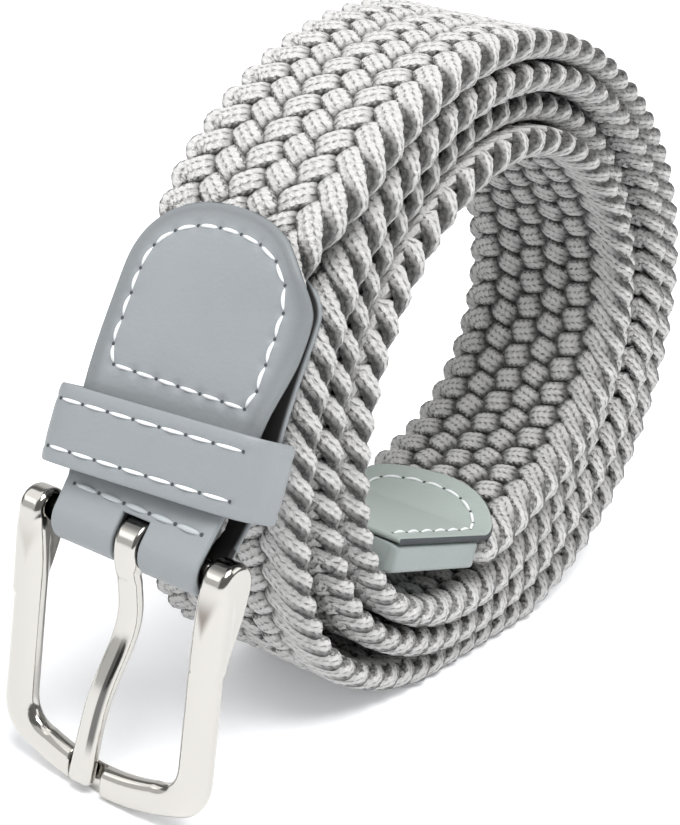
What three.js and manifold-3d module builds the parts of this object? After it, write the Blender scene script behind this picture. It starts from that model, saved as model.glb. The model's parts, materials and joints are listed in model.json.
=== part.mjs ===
// A braided stretch belt with a leather end, a keeper loop and a pin buckle, rolled up and stood on edge.
// Millimetres. X runs across the belt and along the coil's axis, Z is up, and the buckle is towards -Y.
import * as THREE from 'three';
import { mergeVertices } from 'three/addons/utils/BufferGeometryUtils.js';
import Module from 'manifold-3d';

const wasm = await Module();
wasm.setup();

// Driving dimensions
const BELT_WIDTH = 35;
const BRAID_THICK = 5;
const LEATHER_THICK = 1.5;
const GAP = 0.3;
const LEAF_GAP = 0.4;

// The coil's centre. The origin is the point of the floor under the middle of the whole object's box.
const COIL_CENTRE = { x: 0.45, y: 4.44, z: 56.9 };

// The strap's end from the buckle bar to the coil: angle round the coil's centre in degrees, upwards from
// the buckle side, distance of the strap's middle from that centre, and twist about its own length
const RUN_OUT = [
  { angle: -10.2, radius: 73.4, twist: 0 },
  { angle: -5.9, radius: 68.3, twist: 1 },
  { angle: 5.5, radius: 62.5, twist: 7 },
  { angle: 20, radius: 59.4, twist: 6 },
  { angle: 32, radius: 58.9, twist: 2.5 },
];

// Distance of the braid's middle from the coil's centre, turn by turn, at eight angles round it
const COIL = [
  { angle: 0, turn2: 51.3, turn3: 45.5, turn4: 39.7 },
  { angle: 45, turn1: 58.7, turn2: 51.9, turn3: 46.1, turn4: 40.2 },
  { angle: 90, turn1: 58.9, turn2: 53.4, turn3: 47.9, turn4: 42.5 },
  { angle: 135, turn1: 61.2, turn2: 55.4, turn3: 49.6, turn4: 43.7 },
  { angle: 180, turn1: 68.4, turn2: 58.4, turn3: 49.6, turn4: 43.4 },
  { angle: 225, turn1: 64.9, turn2: 52.8, turn3: 45.2, turn4: 36.6 },
  { angle: 270, turn1: 55.5, turn2: 49.1, turn3: 43.4 },
  { angle: 315, turn1: 56.5, turn2: 48.3, turn3: 42.1 },
];
const TURNS = ['turn1', 'turn2', 'turn3', 'turn4'];

// The braid's last stretch under the inner leaf and into the leather tip
const BRAID_END = [
  { angle: 1322, radius: 34.0 },
  { angle: 1334, radius: 34.3 },
  { angle: 1345, radius: 34.0 },
  { angle: 1350, radius: 33.3 },
  { angle: 1356.3, radius: 32.5 },
  { angle: 1363, radius: 32.1 },
];
// Between the leather leaves the braid is narrower and thinner. Beyond them it stands out to the near side.
const TUCKED = { halfWidth: 14.9, middle: -0.7, thick: 4.5, until: 48, freeFrom: 62 };
const FREE_MIDDLE = 0.5;
// In the tip the braid is pressed flat and drawn in
const PRESSED = { length: 7.5, fade: 3, thick: 2.9, halfWidth: 14.9, leafLength: 18 };
// The lowest turn lies flat on the floor
const FLAT_LEVEL = COIL_CENTRE.z - BRAID_THICK / 2;
// How far the braid's middle stands to the near side of the strap's middle, round the coil
const SIDEWAYS = [
  { angle: 32, shift: 0 },
  { angle: 90, shift: 0.8 },
  { angle: 180, shift: -1.2 },
  { angle: 270, shift: -1.2 },
  { angle: 360, shift: 0.3 },
  { angle: 450, shift: 1.6 },
  { angle: 600, shift: 0.9 },
  { angle: 720, shift: 0.9 },
  { angle: 830, shift: -1.0 },
  { angle: 900, shift: -0.5 },
  { angle: 990, shift: 1.5 },
  { angle: 1080, shift: 2.3 },
  { angle: 1170, shift: 2.6 },
  { angle: 1280, shift: 2.2 },
  { angle: 1363, shift: 2.0 },
];

// Places along the strap, measured from the buckle bar
const BRAID_START = 8;
const LEAF_START = 5;
// The leather's far and near edges at the bar, and the front and back leaves with their round ends
const FOLD = { far: -14.3, near: 15.9 };
const FRONT_LEAF = { far: -16.5, near: 16.2, end: 53.6, farRound: 13, nearRound: 15.5 };
const BACK_LEAF = { far: -16.5, near: 16.4, end: 49.5, farRound: 9, nearRound: 9 };
// Above the keeper the front leaf's near edge is wider and bent down over the braid's edge
const BENT_EDGE = { drop: 2.2, wider: 1.5, from: 12.5, starts: 20, full: 36, fades: 41, ends: 50 };
const LEAF_OVAL = { power: 2.3, point: 0.06, shares: [0, 0.02, 0.07, 0.16, 0.3, 0.5, 0.75, 1] };

const KEEPER = {
  at: 14.5, height: 12.7, halfWidth: 20.3, halfDepth: 7.6, wall: 1.7, power: 5, shift: -0.7, turn: 3,
};

const BAR = { radius: 1.8, halfLength: 19.6 };

// The buckle's flat frame. Heights are below the bar, and front is forwards of the bar's middle.
const FRAME = {
  lean: 4, front: 3.8, thick: 3.6, halfWidth: 22, legWidth: 6.2, top: 1.2, topRound: 3.5, bevel: 1,
  waist: 0.3, waistAt: 12, bottom: 44.05, barHeight: 5.5, bow: 3, corner: 8, cornerDrop: 6.5,
  innerCorner: 4.5, innerBow: 2.2, shift: -0.45,
};
// The lugs that hold the bar: each is a barrel on the inner part of a leg, faded into it below
const LUG = { inner: 16.8, back: 3.8, drop: 0.8, fade: 15, edge: 1.1, side: 0.25 };

const PRONG = {
  width: 4.4, thick: 2.5, ring: 4.3, top: 1.6, foot: -3.7, hollow: 3.8, hollowAt: 14, hollowReach: 9.5,
  tip: 42.6, tipWidth: 4.8, tipLength: 12, proud: 0.9, edge: 1.1,
};
const PRONG_SLOT = { side: 0.65, height: 9.9, middle: -0.3, depth: 30 };
const TIP_NOTCH = { side: 1.08, shift: 0.72, height: 14, middle: 3 };

const TIP = {
  length: 27.5, thick: 5.6, halfWidth: 16.2, start: { y: 0, z: -33.4 }, angle: 16.5, leaf: 1, leafStep: 1.6,
};
// The round end of the tip's leaf: how far it runs over the braid, and where its middle lies across
const LEAF_END = { over: 16, middle: 0.5, nearRound: 15, farRound: 5, power: 2.1, point: 0.05 };

// How finely curves are stepped: points round a half-round edge and lengths between sections
const ROUND_STEPS = 4;
const BAND_STEP = 6.2;
const LEAF_STEP = 3.2;
const ANGLE_STEP = 0.5;
const BAR_SIDES = 20;

const radians = THREE.MathUtils.degToRad;
const X_AXIS = new THREE.Vector3(1, 0, 0);

const MATERIALS = {
  braid: new THREE.MeshStandardMaterial({ color: 0xc4c2c0, roughness: 0.95, metalness: 0 }),
  leather: new THREE.MeshStandardMaterial({ color: 0x9ea6aa, roughness: 0.55, metalness: 0 }),
  tipLeather: new THREE.MeshStandardMaterial({ color: 0xa3aeaa, roughness: 0.55, metalness: 0 }),
  nickel: new THREE.MeshStandardMaterial({ color: 0xd8d4cc, roughness: 0.15, metalness: 1 }),
};

// Natural cubic spline through rows of increasing x
function spline(xs, ys) {
  const n = xs.length;
  const curve = new Array(n).fill(0);
  const carry = new Array(n).fill(0);
  for (let i = 1; i < n - 1; i += 1) {
    const before = xs[i] - xs[i - 1];
    const after = xs[i + 1] - xs[i];
    const share = before / (before + after);
    const slope = (ys[i + 1] - ys[i]) / after - (ys[i] - ys[i - 1]) / before;
    const pivot = share * curve[i - 1] + 2;
    curve[i] = (share - 1) / pivot;
    carry[i] = ((6 * slope) / (before + after) - share * carry[i - 1]) / pivot;
  }
  for (let i = n - 2; i >= 0; i -= 1) curve[i] = curve[i] * curve[i + 1] + carry[i];
  return (x) => {
    let low = 0;
    while (low < n - 2 && x > xs[low + 1]) low += 1;
    const h = xs[low + 1] - xs[low];
    const a = (xs[low + 1] - x) / h;
    const b = (x - xs[low]) / h;
    const bend = ((a ** 3 - a) * curve[low] + (b ** 3 - b) * curve[low + 1]) * (h * h) / 6;
    return a * ys[low] + b * ys[low + 1] + bend;
  };
}

// One row for each known place of the whole strap, in order of the wound angle
function strapRows() {
  const rows = RUN_OUT.map(({ angle, radius }) => ({ angle, radius }));
  TURNS.forEach((turn, index) => {
    COIL.forEach((row) => {
      if (row[turn] !== undefined) rows.push({ angle: row.angle + 360 * index, radius: row[turn] });
    });
  });
  rows.push(...BRAID_END);
  return rows;
}

const ROWS = strapRows();
const radiusAt = spline(ROWS.map((row) => row.angle), ROWS.map((row) => row.radius));
const shiftOf = spline(SIDEWAYS.map((row) => row.angle), SIDEWAYS.map((row) => row.shift));

// Straight steps between the rows of the run-out, eased, and no twist in the coil
function twistAt(angle) {
  const rows = [...RUN_OUT, { angle: 45, twist: 0 }];
  for (let i = 0; i < rows.length - 1; i += 1) {
    if (angle <= rows[i + 1].angle) {
      const share = THREE.MathUtils.smoothstep(angle, rows[i].angle, rows[i + 1].angle);
      return radians(THREE.MathUtils.lerp(rows[i].twist, rows[i + 1].twist, share));
    }
  }
  return 0;
}

function middleAt(angle) {
  const turn = radians(angle);
  const radius = radiusAt(angle);
  const across = angle > SIDEWAYS[0].angle ? shiftOf(angle) : 0;
  const back = -radius * Math.cos(turn);
  const height = Math.max(radius * Math.sin(turn), -FLAT_LEVEL);
  return new THREE.Vector3(across, back, height).add(COIL_CENTRE);
}

// The strap's middle line as a table of angle against length, so that pieces are placed by length
function measureStrap() {
  const first = ROWS[0].angle;
  const last = ROWS[ROWS.length - 1].angle;
  const table = [{ angle: first, length: 0 }];
  let before = middleAt(first);
  for (let angle = first + ANGLE_STEP; angle <= last; angle += ANGLE_STEP) {
    const point = middleAt(angle);
    table.push({ angle, length: table[table.length - 1].length + point.distanceTo(before) });
    before = point;
  }
  return table;
}

const STRAP = measureStrap();
const STRAP_LENGTH = STRAP[STRAP.length - 1].length;

function angleAt(length) {
  let low = 0;
  let high = STRAP.length - 1;
  while (high - low > 1) {
    const middle = (low + high) >> 1;
    if (STRAP[middle].length <= length) low = middle;
    else high = middle;
  }
  const share = (length - STRAP[low].length) / (STRAP[high].length - STRAP[low].length);
  return THREE.MathUtils.lerp(STRAP[low].angle, STRAP[high].angle, share);
}

// Place and directions of the strap at a length from the bar: along it, outwards from the coil, across it
function strapFrame(length) {
  const angle = angleAt(length);
  const reach = 0.6;
  const along = middleAt(angle + reach).sub(middleAt(angle - reach));
  along.x = 0;
  along.normalize();
  const flatOut = new THREE.Vector3(0, -along.z, along.y);
  const twist = twistAt(angle);
  const across = X_AXIS.clone().multiplyScalar(Math.cos(twist)).addScaledVector(flatOut, -Math.sin(twist));
  const out = flatOut.multiplyScalar(Math.cos(twist)).addScaledVector(X_AXIS, Math.sin(twist));
  return { origin: middleAt(angle), along, out, across };
}

// A section of a flat strip with half-round edges, as pairs of across and out
function stripSection(halfWidth, halfThick, edge = halfThick, middle = 0) {
  const points = [];
  for (const side of [1, -1]) {
    for (let i = 0; i <= ROUND_STEPS; i += 1) {
      const turn = (side > 0 ? -Math.PI / 2 : Math.PI / 2) + (Math.PI * i) / ROUND_STEPS;
      const across = middle + side * (halfWidth - edge) + edge * Math.cos(turn);
      points.push([across, halfThick * Math.sin(turn)]);
    }
  }
  return points;
}

// Joins rings of points, all of one length, into a closed skin with flat ends
function skin(rings) {
  const size = rings[0].length;
  const positions = [];
  rings.forEach((ring) => ring.forEach((point) => positions.push(point.x, point.y, point.z)));
  const index = [];
  for (let row = 0; row < rings.length - 1; row += 1) {
    for (let i = 0; i < size; i += 1) {
      const a = row * size + i;
      const b = row * size + ((i + 1) % size);
      index.push(a, b, b + size, a, b + size, a + size);
    }
  }
  const outline = stripEnd(size);
  const last = (rings.length - 1) * size;
  outline.forEach(([a, b, c]) => {
    index.push(a, c, b);
    index.push(last + a, last + b, last + c);
  });
  const geometry = new THREE.BufferGeometry();
  geometry.setAttribute('position', new THREE.Float32BufferAttribute(positions, 3));
  geometry.setIndex(signedVolume(positions, index) < 0 ? index.reverse() : index);
  return geometry;
}

// Six times the volume inside the triangles, negative where their faces point inwards
function signedVolume(positions, index) {
  const corner = (i) => new THREE.Vector3().fromArray(positions, 3 * index[i]);
  let sum = 0;
  for (let i = 0; i < index.length; i += 3) sum += corner(i).cross(corner(i + 1)).dot(corner(i + 2));
  return sum;
}

// A fan of triangles across the end of a strip
function stripEnd(size) {
  const triangles = [];
  for (let i = 1; i < size - 1; i += 1) triangles.push([0, i, i + 1]);
  return triangles;
}

function ringAt(frame, section, offset = 0) {
  return section.map(([across, out]) => frame.origin.clone()
    .addScaledVector(frame.across, across)
    .addScaledVector(frame.out, out + offset));
}

function toManifold(geometry) {
  const bare = geometry.clone();
  bare.deleteAttribute('normal');
  bare.deleteAttribute('uv');
  const merged = mergeVertices(bare, 1e-4);
  const mesh = new wasm.Mesh({
    numProp: 3,
    vertProperties: new Float32Array(merged.attributes.position.array),
    triVerts: new Uint32Array(merged.index.array),
  });
  return new wasm.Manifold(mesh);
}

function fromManifold(solid) {
  const mesh = solid.getMesh();
  const geometry = new THREE.BufferGeometry();
  geometry.setAttribute('position', new THREE.Float32BufferAttribute(mesh.vertProperties, 3));
  geometry.setIndex(Array.from(mesh.triVerts));
  return geometry;
}

function named(name, geometry, material) {
  const flat = geometry.index ? geometry.toNonIndexed() : geometry.clone();
  flat.computeVertexNormals();
  const mesh = new THREE.Mesh(flat, material);
  mesh.name = name;
  return mesh;
}

// Even lengths from one place to another, both included, no further apart than step
function evenSteps(from, to, step) {
  const count = Math.ceil((to - from) / step);
  const lengths = Array.from({ length: count }, (unused, i) => from + ((to - from) * i) / count);
  return [...lengths, to];
}

// Half width, half thickness and sideways middle of the braid at a length from the bar
function braidSize(length) {
  const pressedFrom = STRAP_LENGTH - PRESSED.length;
  const free = THREE.MathUtils.smoothstep(length, TUCKED.until, TUCKED.freeFrom);
  const pressed = THREE.MathUtils.smoothstep(length, pressedFrom - PRESSED.fade, pressedFrom);
  const mix = (start, middle, end) => (
    THREE.MathUtils.lerp(THREE.MathUtils.lerp(start, middle, free), end, pressed)
  );
  return {
    halfWidth: mix(TUCKED.halfWidth, BELT_WIDTH / 2, PRESSED.halfWidth),
    halfThick: mix(TUCKED.thick, BRAID_THICK, PRESSED.thick) / 2,
    middle: mix(TUCKED.middle, FREE_MIDDLE, 0),
  };
}

// The woven band, from between the two leather leaves at the buckle to inside the leather tip
function braidedBand() {
  const pressedFrom = STRAP_LENGTH - PRESSED.length;
  const leafFrom = pressedFrom - PRESSED.leafLength;
  const lengths = [
    ...evenSteps(BRAID_START, TUCKED.freeFrom, LEAF_STEP),
    ...evenSteps(TUCKED.freeFrom, leafFrom, BAND_STEP).slice(1),
    ...evenSteps(leafFrom, pressedFrom - PRESSED.fade, LEAF_STEP).slice(1),
    ...evenSteps(pressedFrom, STRAP_LENGTH, LEAF_STEP),
  ];
  return skin(lengths.map((length) => {
    const { halfWidth, halfThick, middle } = braidSize(length);
    return ringAt(strapFrame(length), stripSection(halfWidth, halfThick, halfThick, middle));
  }));
}

// Share of a leaf's full width at a distance before its round end
function ovalShare(beforeEnd, round) {
  if (beforeEnd >= round) return 1;
  const { power, point } = LEAF_OVAL;
  const share = 1 - beforeEnd / round;
  return Math.max(point, (1 - share ** power) ** (1 / power));
}

function leafLengths({ end, farRound, nearRound }) {
  const round = Math.max(farRound, nearRound);
  const lengths = LEAF_OVAL.shares.map((share) => end - round * share);
  return [...lengths, ...evenSteps(end - round, LEAF_START, -LEAF_STEP).slice(1)];
}

// How much of its full bend the front leaf's near edge has at a length
function bendShare(length) {
  const { starts, full, fades, ends } = BENT_EDGE;
  const risen = THREE.MathUtils.smoothstep(length, starts, full);
  return risen * (1 - THREE.MathUtils.smoothstep(length, fades, ends));
}

// A leaf's section from its far to its near edge, with points along it for the bent edge
function leafSection(far, near, drop) {
  const half = LEATHER_THICK / 2;
  const edges = stripSection((near - far) / 2, half, half, (near + far) / 2);
  const shares = [0.88, 0.76, 0.5];
  const row = (side, order) => order.map((share) => [THREE.MathUtils.lerp(far, near, share), side * half]);
  const points = [
    ...edges.slice(0, ROUND_STEPS + 1),
    ...row(1, shares),
    ...edges.slice(ROUND_STEPS + 1),
    ...row(-1, [...shares].reverse()),
  ];
  const full = FRONT_LEAF.near + BENT_EDGE.wider;
  return points.map(([across, out]) => (
    [across, out - drop * THREE.MathUtils.smoothstep(across, BENT_EDGE.from, full)]
  ));
}

// Rings of one leaf from its round end to the bar, on the front or back side of the braid
function leafRings(leaf, side, offset) {
  const middle = (leaf.far + leaf.near) / 2;
  return leafLengths(leaf).map((length) => {
    const widened = THREE.MathUtils.smoothstep(length, LEAF_START - 1, BRAID_START + 4);
    const bend = side > 0 ? bendShare(length) : 0;
    const farShare = ovalShare(leaf.end - length, leaf.farRound);
    const nearShare = ovalShare(leaf.end - length, leaf.nearRound);
    const farEdge = THREE.MathUtils.lerp(middle, leaf.far, farShare);
    const nearEdge = THREE.MathUtils.lerp(middle, leaf.near + BENT_EDGE.wider * bend, nearShare);
    const section = leafSection(
      THREE.MathUtils.lerp(FOLD.far, farEdge, widened),
      THREE.MathUtils.lerp(FOLD.near, nearEdge, widened),
      BENT_EDGE.drop * bend,
    );
    return ringAt(strapFrame(length), section.map(([across, out]) => [across, side * out]), side * offset);
  });
}

// One piece of leather: the tab in front, the fold round the bar and the leaf behind the braid
function leatherFold(barFrame) {
  const offset = TUCKED.thick / 2 + LEAF_GAP + LEATHER_THICK / 2;
  const section = leafSection(FOLD.far, FOLD.near, 0);
  const around = [];
  const steps = 10;
  for (let i = 0; i <= steps; i += 1) {
    const turn = (Math.PI * i) / steps;
    const out = barFrame.out.clone().multiplyScalar(Math.cos(turn))
      .addScaledVector(barFrame.along, -Math.sin(turn));
    around.push(ringAt({ origin: barFrame.origin, out, across: X_AXIS }, section, offset));
  }
  const front = leafRings(FRONT_LEAF, 1, offset);
  const back = leafRings(BACK_LEAF, -1, offset).reverse();
  return skin([...front, ...around, ...back]);
}

function placed(geometry, origin, xAxis, yAxis, zAxis) {
  const matrix = new THREE.Matrix4().makeBasis(xAxis, yAxis, zAxis).setPosition(origin);
  return geometry.applyMatrix4(matrix);
}

function box(x, y, z, centre) {
  return new THREE.BoxGeometry(x, y, z).translate(centre.x, centre.y, centre.z);
}

function ovalPath(path, halfWidth, halfDepth, power, steps) {
  for (let i = 0; i < steps; i += 1) {
    const turn = (2 * Math.PI * i) / steps;
    const c = Math.cos(turn);
    const s = Math.sin(turn);
    const x = halfWidth * Math.sign(c) * Math.abs(c) ** (2 / power);
    const y = halfDepth * Math.sign(s) * Math.abs(s) ** (2 / power);
    if (i === 0) path.moveTo(x, y);
    else path.lineTo(x, y);
  }
  path.closePath();
  return path;
}

// A flat oval loop of leather round both leaves and the braid, turned so that its near end is higher
function keeperLoop() {
  const { at, height, halfWidth, halfDepth, wall, power, shift, turn } = KEEPER;
  const steps = 44;
  const ring = ovalPath(new THREE.Shape(), halfWidth, halfDepth, power, steps);
  ring.holes.push(ovalPath(new THREE.Path(), halfWidth - wall, halfDepth - wall, power, steps));
  const geometry = new THREE.ExtrudeGeometry(ring, { depth: height, bevelEnabled: false });
  geometry.translate(shift, 0, -height / 2);
  const frame = strapFrame(at);
  const low = strapFrame(at - height / 2).origin;
  const high = strapFrame(at + height / 2).origin;
  const middle = low.clone().lerp(high, 0.5).lerp(frame.origin, 0.5);
  const along = high.sub(low).normalize();
  const out = frame.across.clone().cross(along).normalize();
  const tilt = radians(turn);
  const across = frame.across.multiplyScalar(Math.cos(tilt)).addScaledVector(along, Math.sin(tilt));
  const side = Math.sign(out.dot(frame.out));
  const up = out.clone().cross(across).normalize().multiplyScalar(side);
  const front = up.clone().cross(across);
  return placed(geometry, middle, across, front, up);
}

// Outline of the buckle seen from the front: x across, y upwards from the bar
function frameOutline() {
  const { halfWidth, bottom, bow, corner, cornerDrop, top, topRound, waist, waistAt } = FRAME;
  const shape = new THREE.Shape();
  const side = bottom - bow;
  const straight = halfWidth - corner * 0.75;
  shape.moveTo(-halfWidth + topRound, -top);
  shape.quadraticCurveTo(-halfWidth, -top, -halfWidth, -top - topRound);
  shape.lineTo(-halfWidth + waist, -waistAt);
  shape.lineTo(-halfWidth, -side + corner);
  shape.quadraticCurveTo(-halfWidth, -side + corner - cornerDrop, -straight, -side);
  shape.quadraticCurveTo(0, -bottom - bow, straight, -side);
  shape.quadraticCurveTo(halfWidth, -side + corner - cornerDrop, halfWidth, -side + corner);
  shape.lineTo(halfWidth - waist, -waistAt);
  shape.lineTo(halfWidth, -top - topRound);
  shape.quadraticCurveTo(halfWidth, -top, halfWidth - topRound, -top);
  shape.closePath();
  return shape;
}

// The opening between the legs, which runs out of the top between the lugs
function frameWindow() {
  const { halfWidth, legWidth, bottom, barHeight, innerCorner, innerBow, waistAt, top } = FRAME;
  const inner = halfWidth - legWidth;
  const low = -(bottom - barHeight);
  const corner = low + innerBow;
  const flat = inner - innerCorner;
  const bowed = innerBow * 0.8;
  const high = -top + BAR.radius;
  const hole = new THREE.Shape();
  hole.moveTo(-LUG.inner, high);
  hole.lineTo(-LUG.inner, -BAR.radius);
  hole.quadraticCurveTo(-inner, -waistAt / 2, -inner, -waistAt);
  hole.lineTo(-inner, corner + innerCorner);
  hole.quadraticCurveTo(-inner, corner, -flat, low + bowed);
  hole.quadraticCurveTo(0, low - bowed, flat, low + bowed);
  hole.quadraticCurveTo(inner, corner, inner, corner + innerCorner);
  hole.lineTo(inner, -waistAt);
  hole.quadraticCurveTo(inner, -waistAt / 2, LUG.inner, -BAR.radius);
  hole.lineTo(LUG.inner, high);
  hole.closePath();
  return hole;
}

// Side outline of a lug: forwards from the bar, and upwards
function lugSide() {
  const { front, thick } = FRAME;
  const { back, drop, fade } = LUG;
  const face = front - 0.1;
  const legBack = front - thick;
  const shape = new THREE.Shape();
  shape.moveTo(face, -fade);
  shape.lineTo(face, -drop);
  shape.absarc((face - back) / 2, -drop, (face + back) / 2, 0, Math.PI);
  shape.quadraticCurveTo(-back, -back - drop, legBack, -fade + 1);
  shape.lineTo(legBack, -fade);
  shape.closePath();
  return shape;
}

// One lug, with rounded edges, on the side of the given sign
function buckleLug(side) {
  const width = FRAME.halfWidth - LUG.inner - LUG.side;
  const lug = new THREE.ExtrudeGeometry(lugSide(), {
    depth: width - 2 * LUG.edge,
    bevelThickness: LUG.edge,
    bevelSize: LUG.edge,
    bevelOffset: -LUG.edge,
    bevelSegments: 2,
    curveSegments: 6,
  });
  lug.rotateY(-Math.PI / 2);
  const far = side > 0 ? LUG.inner + width : -LUG.inner;
  return lug.translate(far - LUG.edge, 0, 0);
}

function buckleFrame() {
  const { front, thick, bevel } = FRAME;
  const plate = new THREE.ExtrudeGeometry(frameOutline(), {
    depth: thick - 2 * bevel,
    bevelThickness: bevel,
    bevelSize: bevel,
    bevelOffset: -bevel,
    bevelSegments: 2,
    curveSegments: 8,
  });
  plate.translate(0, 0, front - thick + bevel);
  const through = 20;
  const window = new THREE.ExtrudeGeometry(frameWindow(), {
    depth: through,
    bevelEnabled: false,
    curveSegments: 8,
  });
  window.translate(0, 0, -through / 2);
  const solid = toManifold(plate)
    .subtract(toManifold(window))
    .add(toManifold(buckleLug(-1)))
    .add(toManifold(buckleLug(1)))
    .translate([FRAME.shift, 0, 0]);
  const bore = boreAroundBar(BAR.halfLength + GAP);
  return fromManifold(solid.subtract(toManifold(bore)).subtract(toManifold(tipNotch())));
}

// A cylinder along the bar that leaves running clearance round it
function boreAroundBar(halfLength) {
  const bore = new THREE.CylinderGeometry(BAR.radius + GAP, BAR.radius + GAP, 2 * halfLength, BAR_SIDES);
  return bore.rotateZ(Math.PI / 2);
}

// The notch in the lower bar that the prong's tip lies in
function tipNotch() {
  const depth = PRONG.thick + GAP - PRONG.proud;
  const beyond = 2;
  const centre = new THREE.Vector3(
    PRONG.foot + TIP_NOTCH.shift,
    -FRAME.bottom + TIP_NOTCH.middle,
    FRAME.front - depth / 2 + beyond / 2,
  );
  return box(PRONG.tipWidth + 2 * TIP_NOTCH.side, TIP_NOTCH.height, depth + beyond, centre);
}

function buckleBar() {
  const bar = new THREE.CylinderGeometry(BAR.radius, BAR.radius, 2 * BAR.halfLength, BAR_SIDES);
  return bar.rotateZ(Math.PI / 2);
}

// Middle line of the prong below its ring: across, upwards from the bar, forwards
function prongPoint(down) {
  const share = down / PRONG.tip;
  const across = THREE.MathUtils.lerp(PRONG.top, PRONG.foot, share);
  const start = PRONG.ring - PRONG.thick / 2;
  const rest = FRAME.front - PRONG.thick / 2 + PRONG.proud;
  const line = THREE.MathUtils.lerp(start, rest, THREE.MathUtils.smoothstep(share, 0, 1));
  const hollow = PRONG.hollow * Math.exp(-(((down - PRONG.hollowAt) / PRONG.hollowReach) ** 2));
  const settle = THREE.MathUtils.smoothstep(down, 0, PRONG.ring + 2);
  return new THREE.Vector3(across, -down, line - hollow * settle);
}

function prongRing(down) {
  const reach = 0.2;
  const next = prongPoint(down + reach).sub(prongPoint(down - reach)).normalize();
  const out = X_AXIS.clone().cross(next).normalize();
  const widened = THREE.MathUtils.smoothstep(down, PRONG.tip - PRONG.tipLength, PRONG.tip - 2);
  const half = THREE.MathUtils.lerp(PRONG.width, PRONG.tipWidth, widened) / 2;
  const section = stripSection(half, PRONG.thick / 2, PRONG.edge);
  return ringAt({ origin: prongPoint(down), across: X_AXIS, out }, section);
}

// The pin: an eye round the bar and a bent shank whose tip lies in the lower bar's notch
function prong() {
  const ring = new THREE.Shape();
  ring.absarc(0, 0, PRONG.ring, 0, 2 * Math.PI);
  const eye = new THREE.ExtrudeGeometry(ring, { depth: PRONG.width, bevelEnabled: false, curveSegments: 12 });
  eye.translate(0, 0, -PRONG.width / 2);
  eye.rotateY(Math.PI / 2);
  eye.translate(PRONG.top, 0, 0);
  const shankStep = 2.7;
  const shank = skin(evenSteps(0, PRONG.tip, shankStep).map((down) => prongRing(down)));
  const bore = toManifold(boreAroundBar(PRONG.width * 2));
  return fromManifold(toManifold(eye).add(toManifold(shank)).subtract(bore));
}

// The leather-covered end inside the coil, open where the braid goes in
function leatherTip() {
  const { length, thick, halfWidth } = TIP;
  const width = 2 * (PRESSED.halfWidth + GAP);
  const height = PRESSED.thick + 2 * GAP;
  const deep = PRESSED.length + 3;
  const outside = box(2 * halfWidth, thick, length, new THREE.Vector3(0, 0, length / 2));
  const pocket = box(width, height, deep, new THREE.Vector3(0, 0, deep / 2 - 1));
  return fromManifold(toManifold(outside).subtract(toManifold(pocket)));
}

// Half-oval share from 0 at the end of the leaf to 1 where its edge runs straight
function roundShare(distance, round) {
  const left = 1 - Math.min(1, Math.max(0, distance / round));
  return (1 - left ** LEAF_END.power) ** (1 / LEAF_END.power);
}

// Place of the tip leaf's middle at a distance from the tip's start: on the block, or before it on the braid
function tipLeafFrame(distance, tip) {
  const onBlock = tip.origin.clone().addScaledVector(tip.along, distance)
    .addScaledVector(tip.out, TIP.thick / 2 + GAP + TIP.leaf / 2);
  const strap = strapFrame(STRAP_LENGTH - PRESSED.length + Math.min(0, distance));
  const onBraid = strap.origin.clone()
    .addScaledVector(strap.out, -(BRAID_THICK / 2 + LEAF_GAP + TIP.leaf / 2));
  const block = THREE.MathUtils.smoothstep(distance, -PRESSED.fade, 0.5);
  return {
    origin: onBraid.lerp(onBlock, block),
    across: X_AXIS,
    out: strap.out.multiplyScalar(-1).lerp(tip.out, block).normalize(),
  };
}

// The thin leaf on top of the tip, with a round end that runs on over the braid
function tipLeaf(tip) {
  const { halfWidth, leaf, length } = TIP;
  const { over, middle, nearRound, farRound, point } = LEAF_END;
  const closeSteps = [-over, -over + 0.15, -over + 0.5];
  const distances = [...closeSteps, ...evenSteps(-over + 1.2, 1, TIP.leafStep), length];
  const rings = distances.map((distance) => {
    const near = middle + (halfWidth - middle) * Math.max(point, roundShare(distance + over, nearRound));
    const far = middle - (halfWidth + middle) * Math.max(point, roundShare(distance + over, farRound));
    const section = [[near, leaf / 2], [far, leaf / 2], [far, -leaf / 2], [near, -leaf / 2]];
    return ringAt(tipLeafFrame(distance, tip), section);
  });
  return skin(rings);
}

function buildBuckle(barFrame) {
  const group = new THREE.Group();
  group.position.copy(barFrame.origin);
  group.rotation.x = Math.PI / 2 + radians(-FRAME.lean);
  group.add(named('buckle_frame', buckleFrame(), MATERIALS.nickel));
  group.add(named('buckle_bar', buckleBar(), MATERIALS.nickel));
  group.add(named('prong', prong(), MATERIALS.nickel));
  return group;
}

// The slot in the fold that the prong comes out of
function slotCut(barFrame) {
  const { side, height, middle, depth } = PRONG_SLOT;
  const slot = box(PRONG.width + 2 * side, depth, height, new THREE.Vector3(PRONG.top, 0, middle));
  return slot.translate(barFrame.origin.x, barFrame.origin.y, barFrame.origin.z);
}

function buildTip() {
  const slope = radians(TIP.angle);
  const origin = new THREE.Vector3(SIDEWAYS[SIDEWAYS.length - 1].shift, TIP.start.y, TIP.start.z)
    .add(COIL_CENTRE);
  const group = new THREE.Group();
  const block = named('leather_tip', leatherTip(), MATERIALS.tipLeather);
  block.position.copy(origin);
  block.rotation.x = Math.PI / 2 - slope;
  const along = new THREE.Vector3(0, -Math.cos(slope), Math.sin(slope));
  const out = new THREE.Vector3(0, Math.sin(slope), Math.cos(slope));
  group.add(block, named('tip_leaf', tipLeaf({ origin, along, out }), MATERIALS.tipLeather));
  return group;
}

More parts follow.
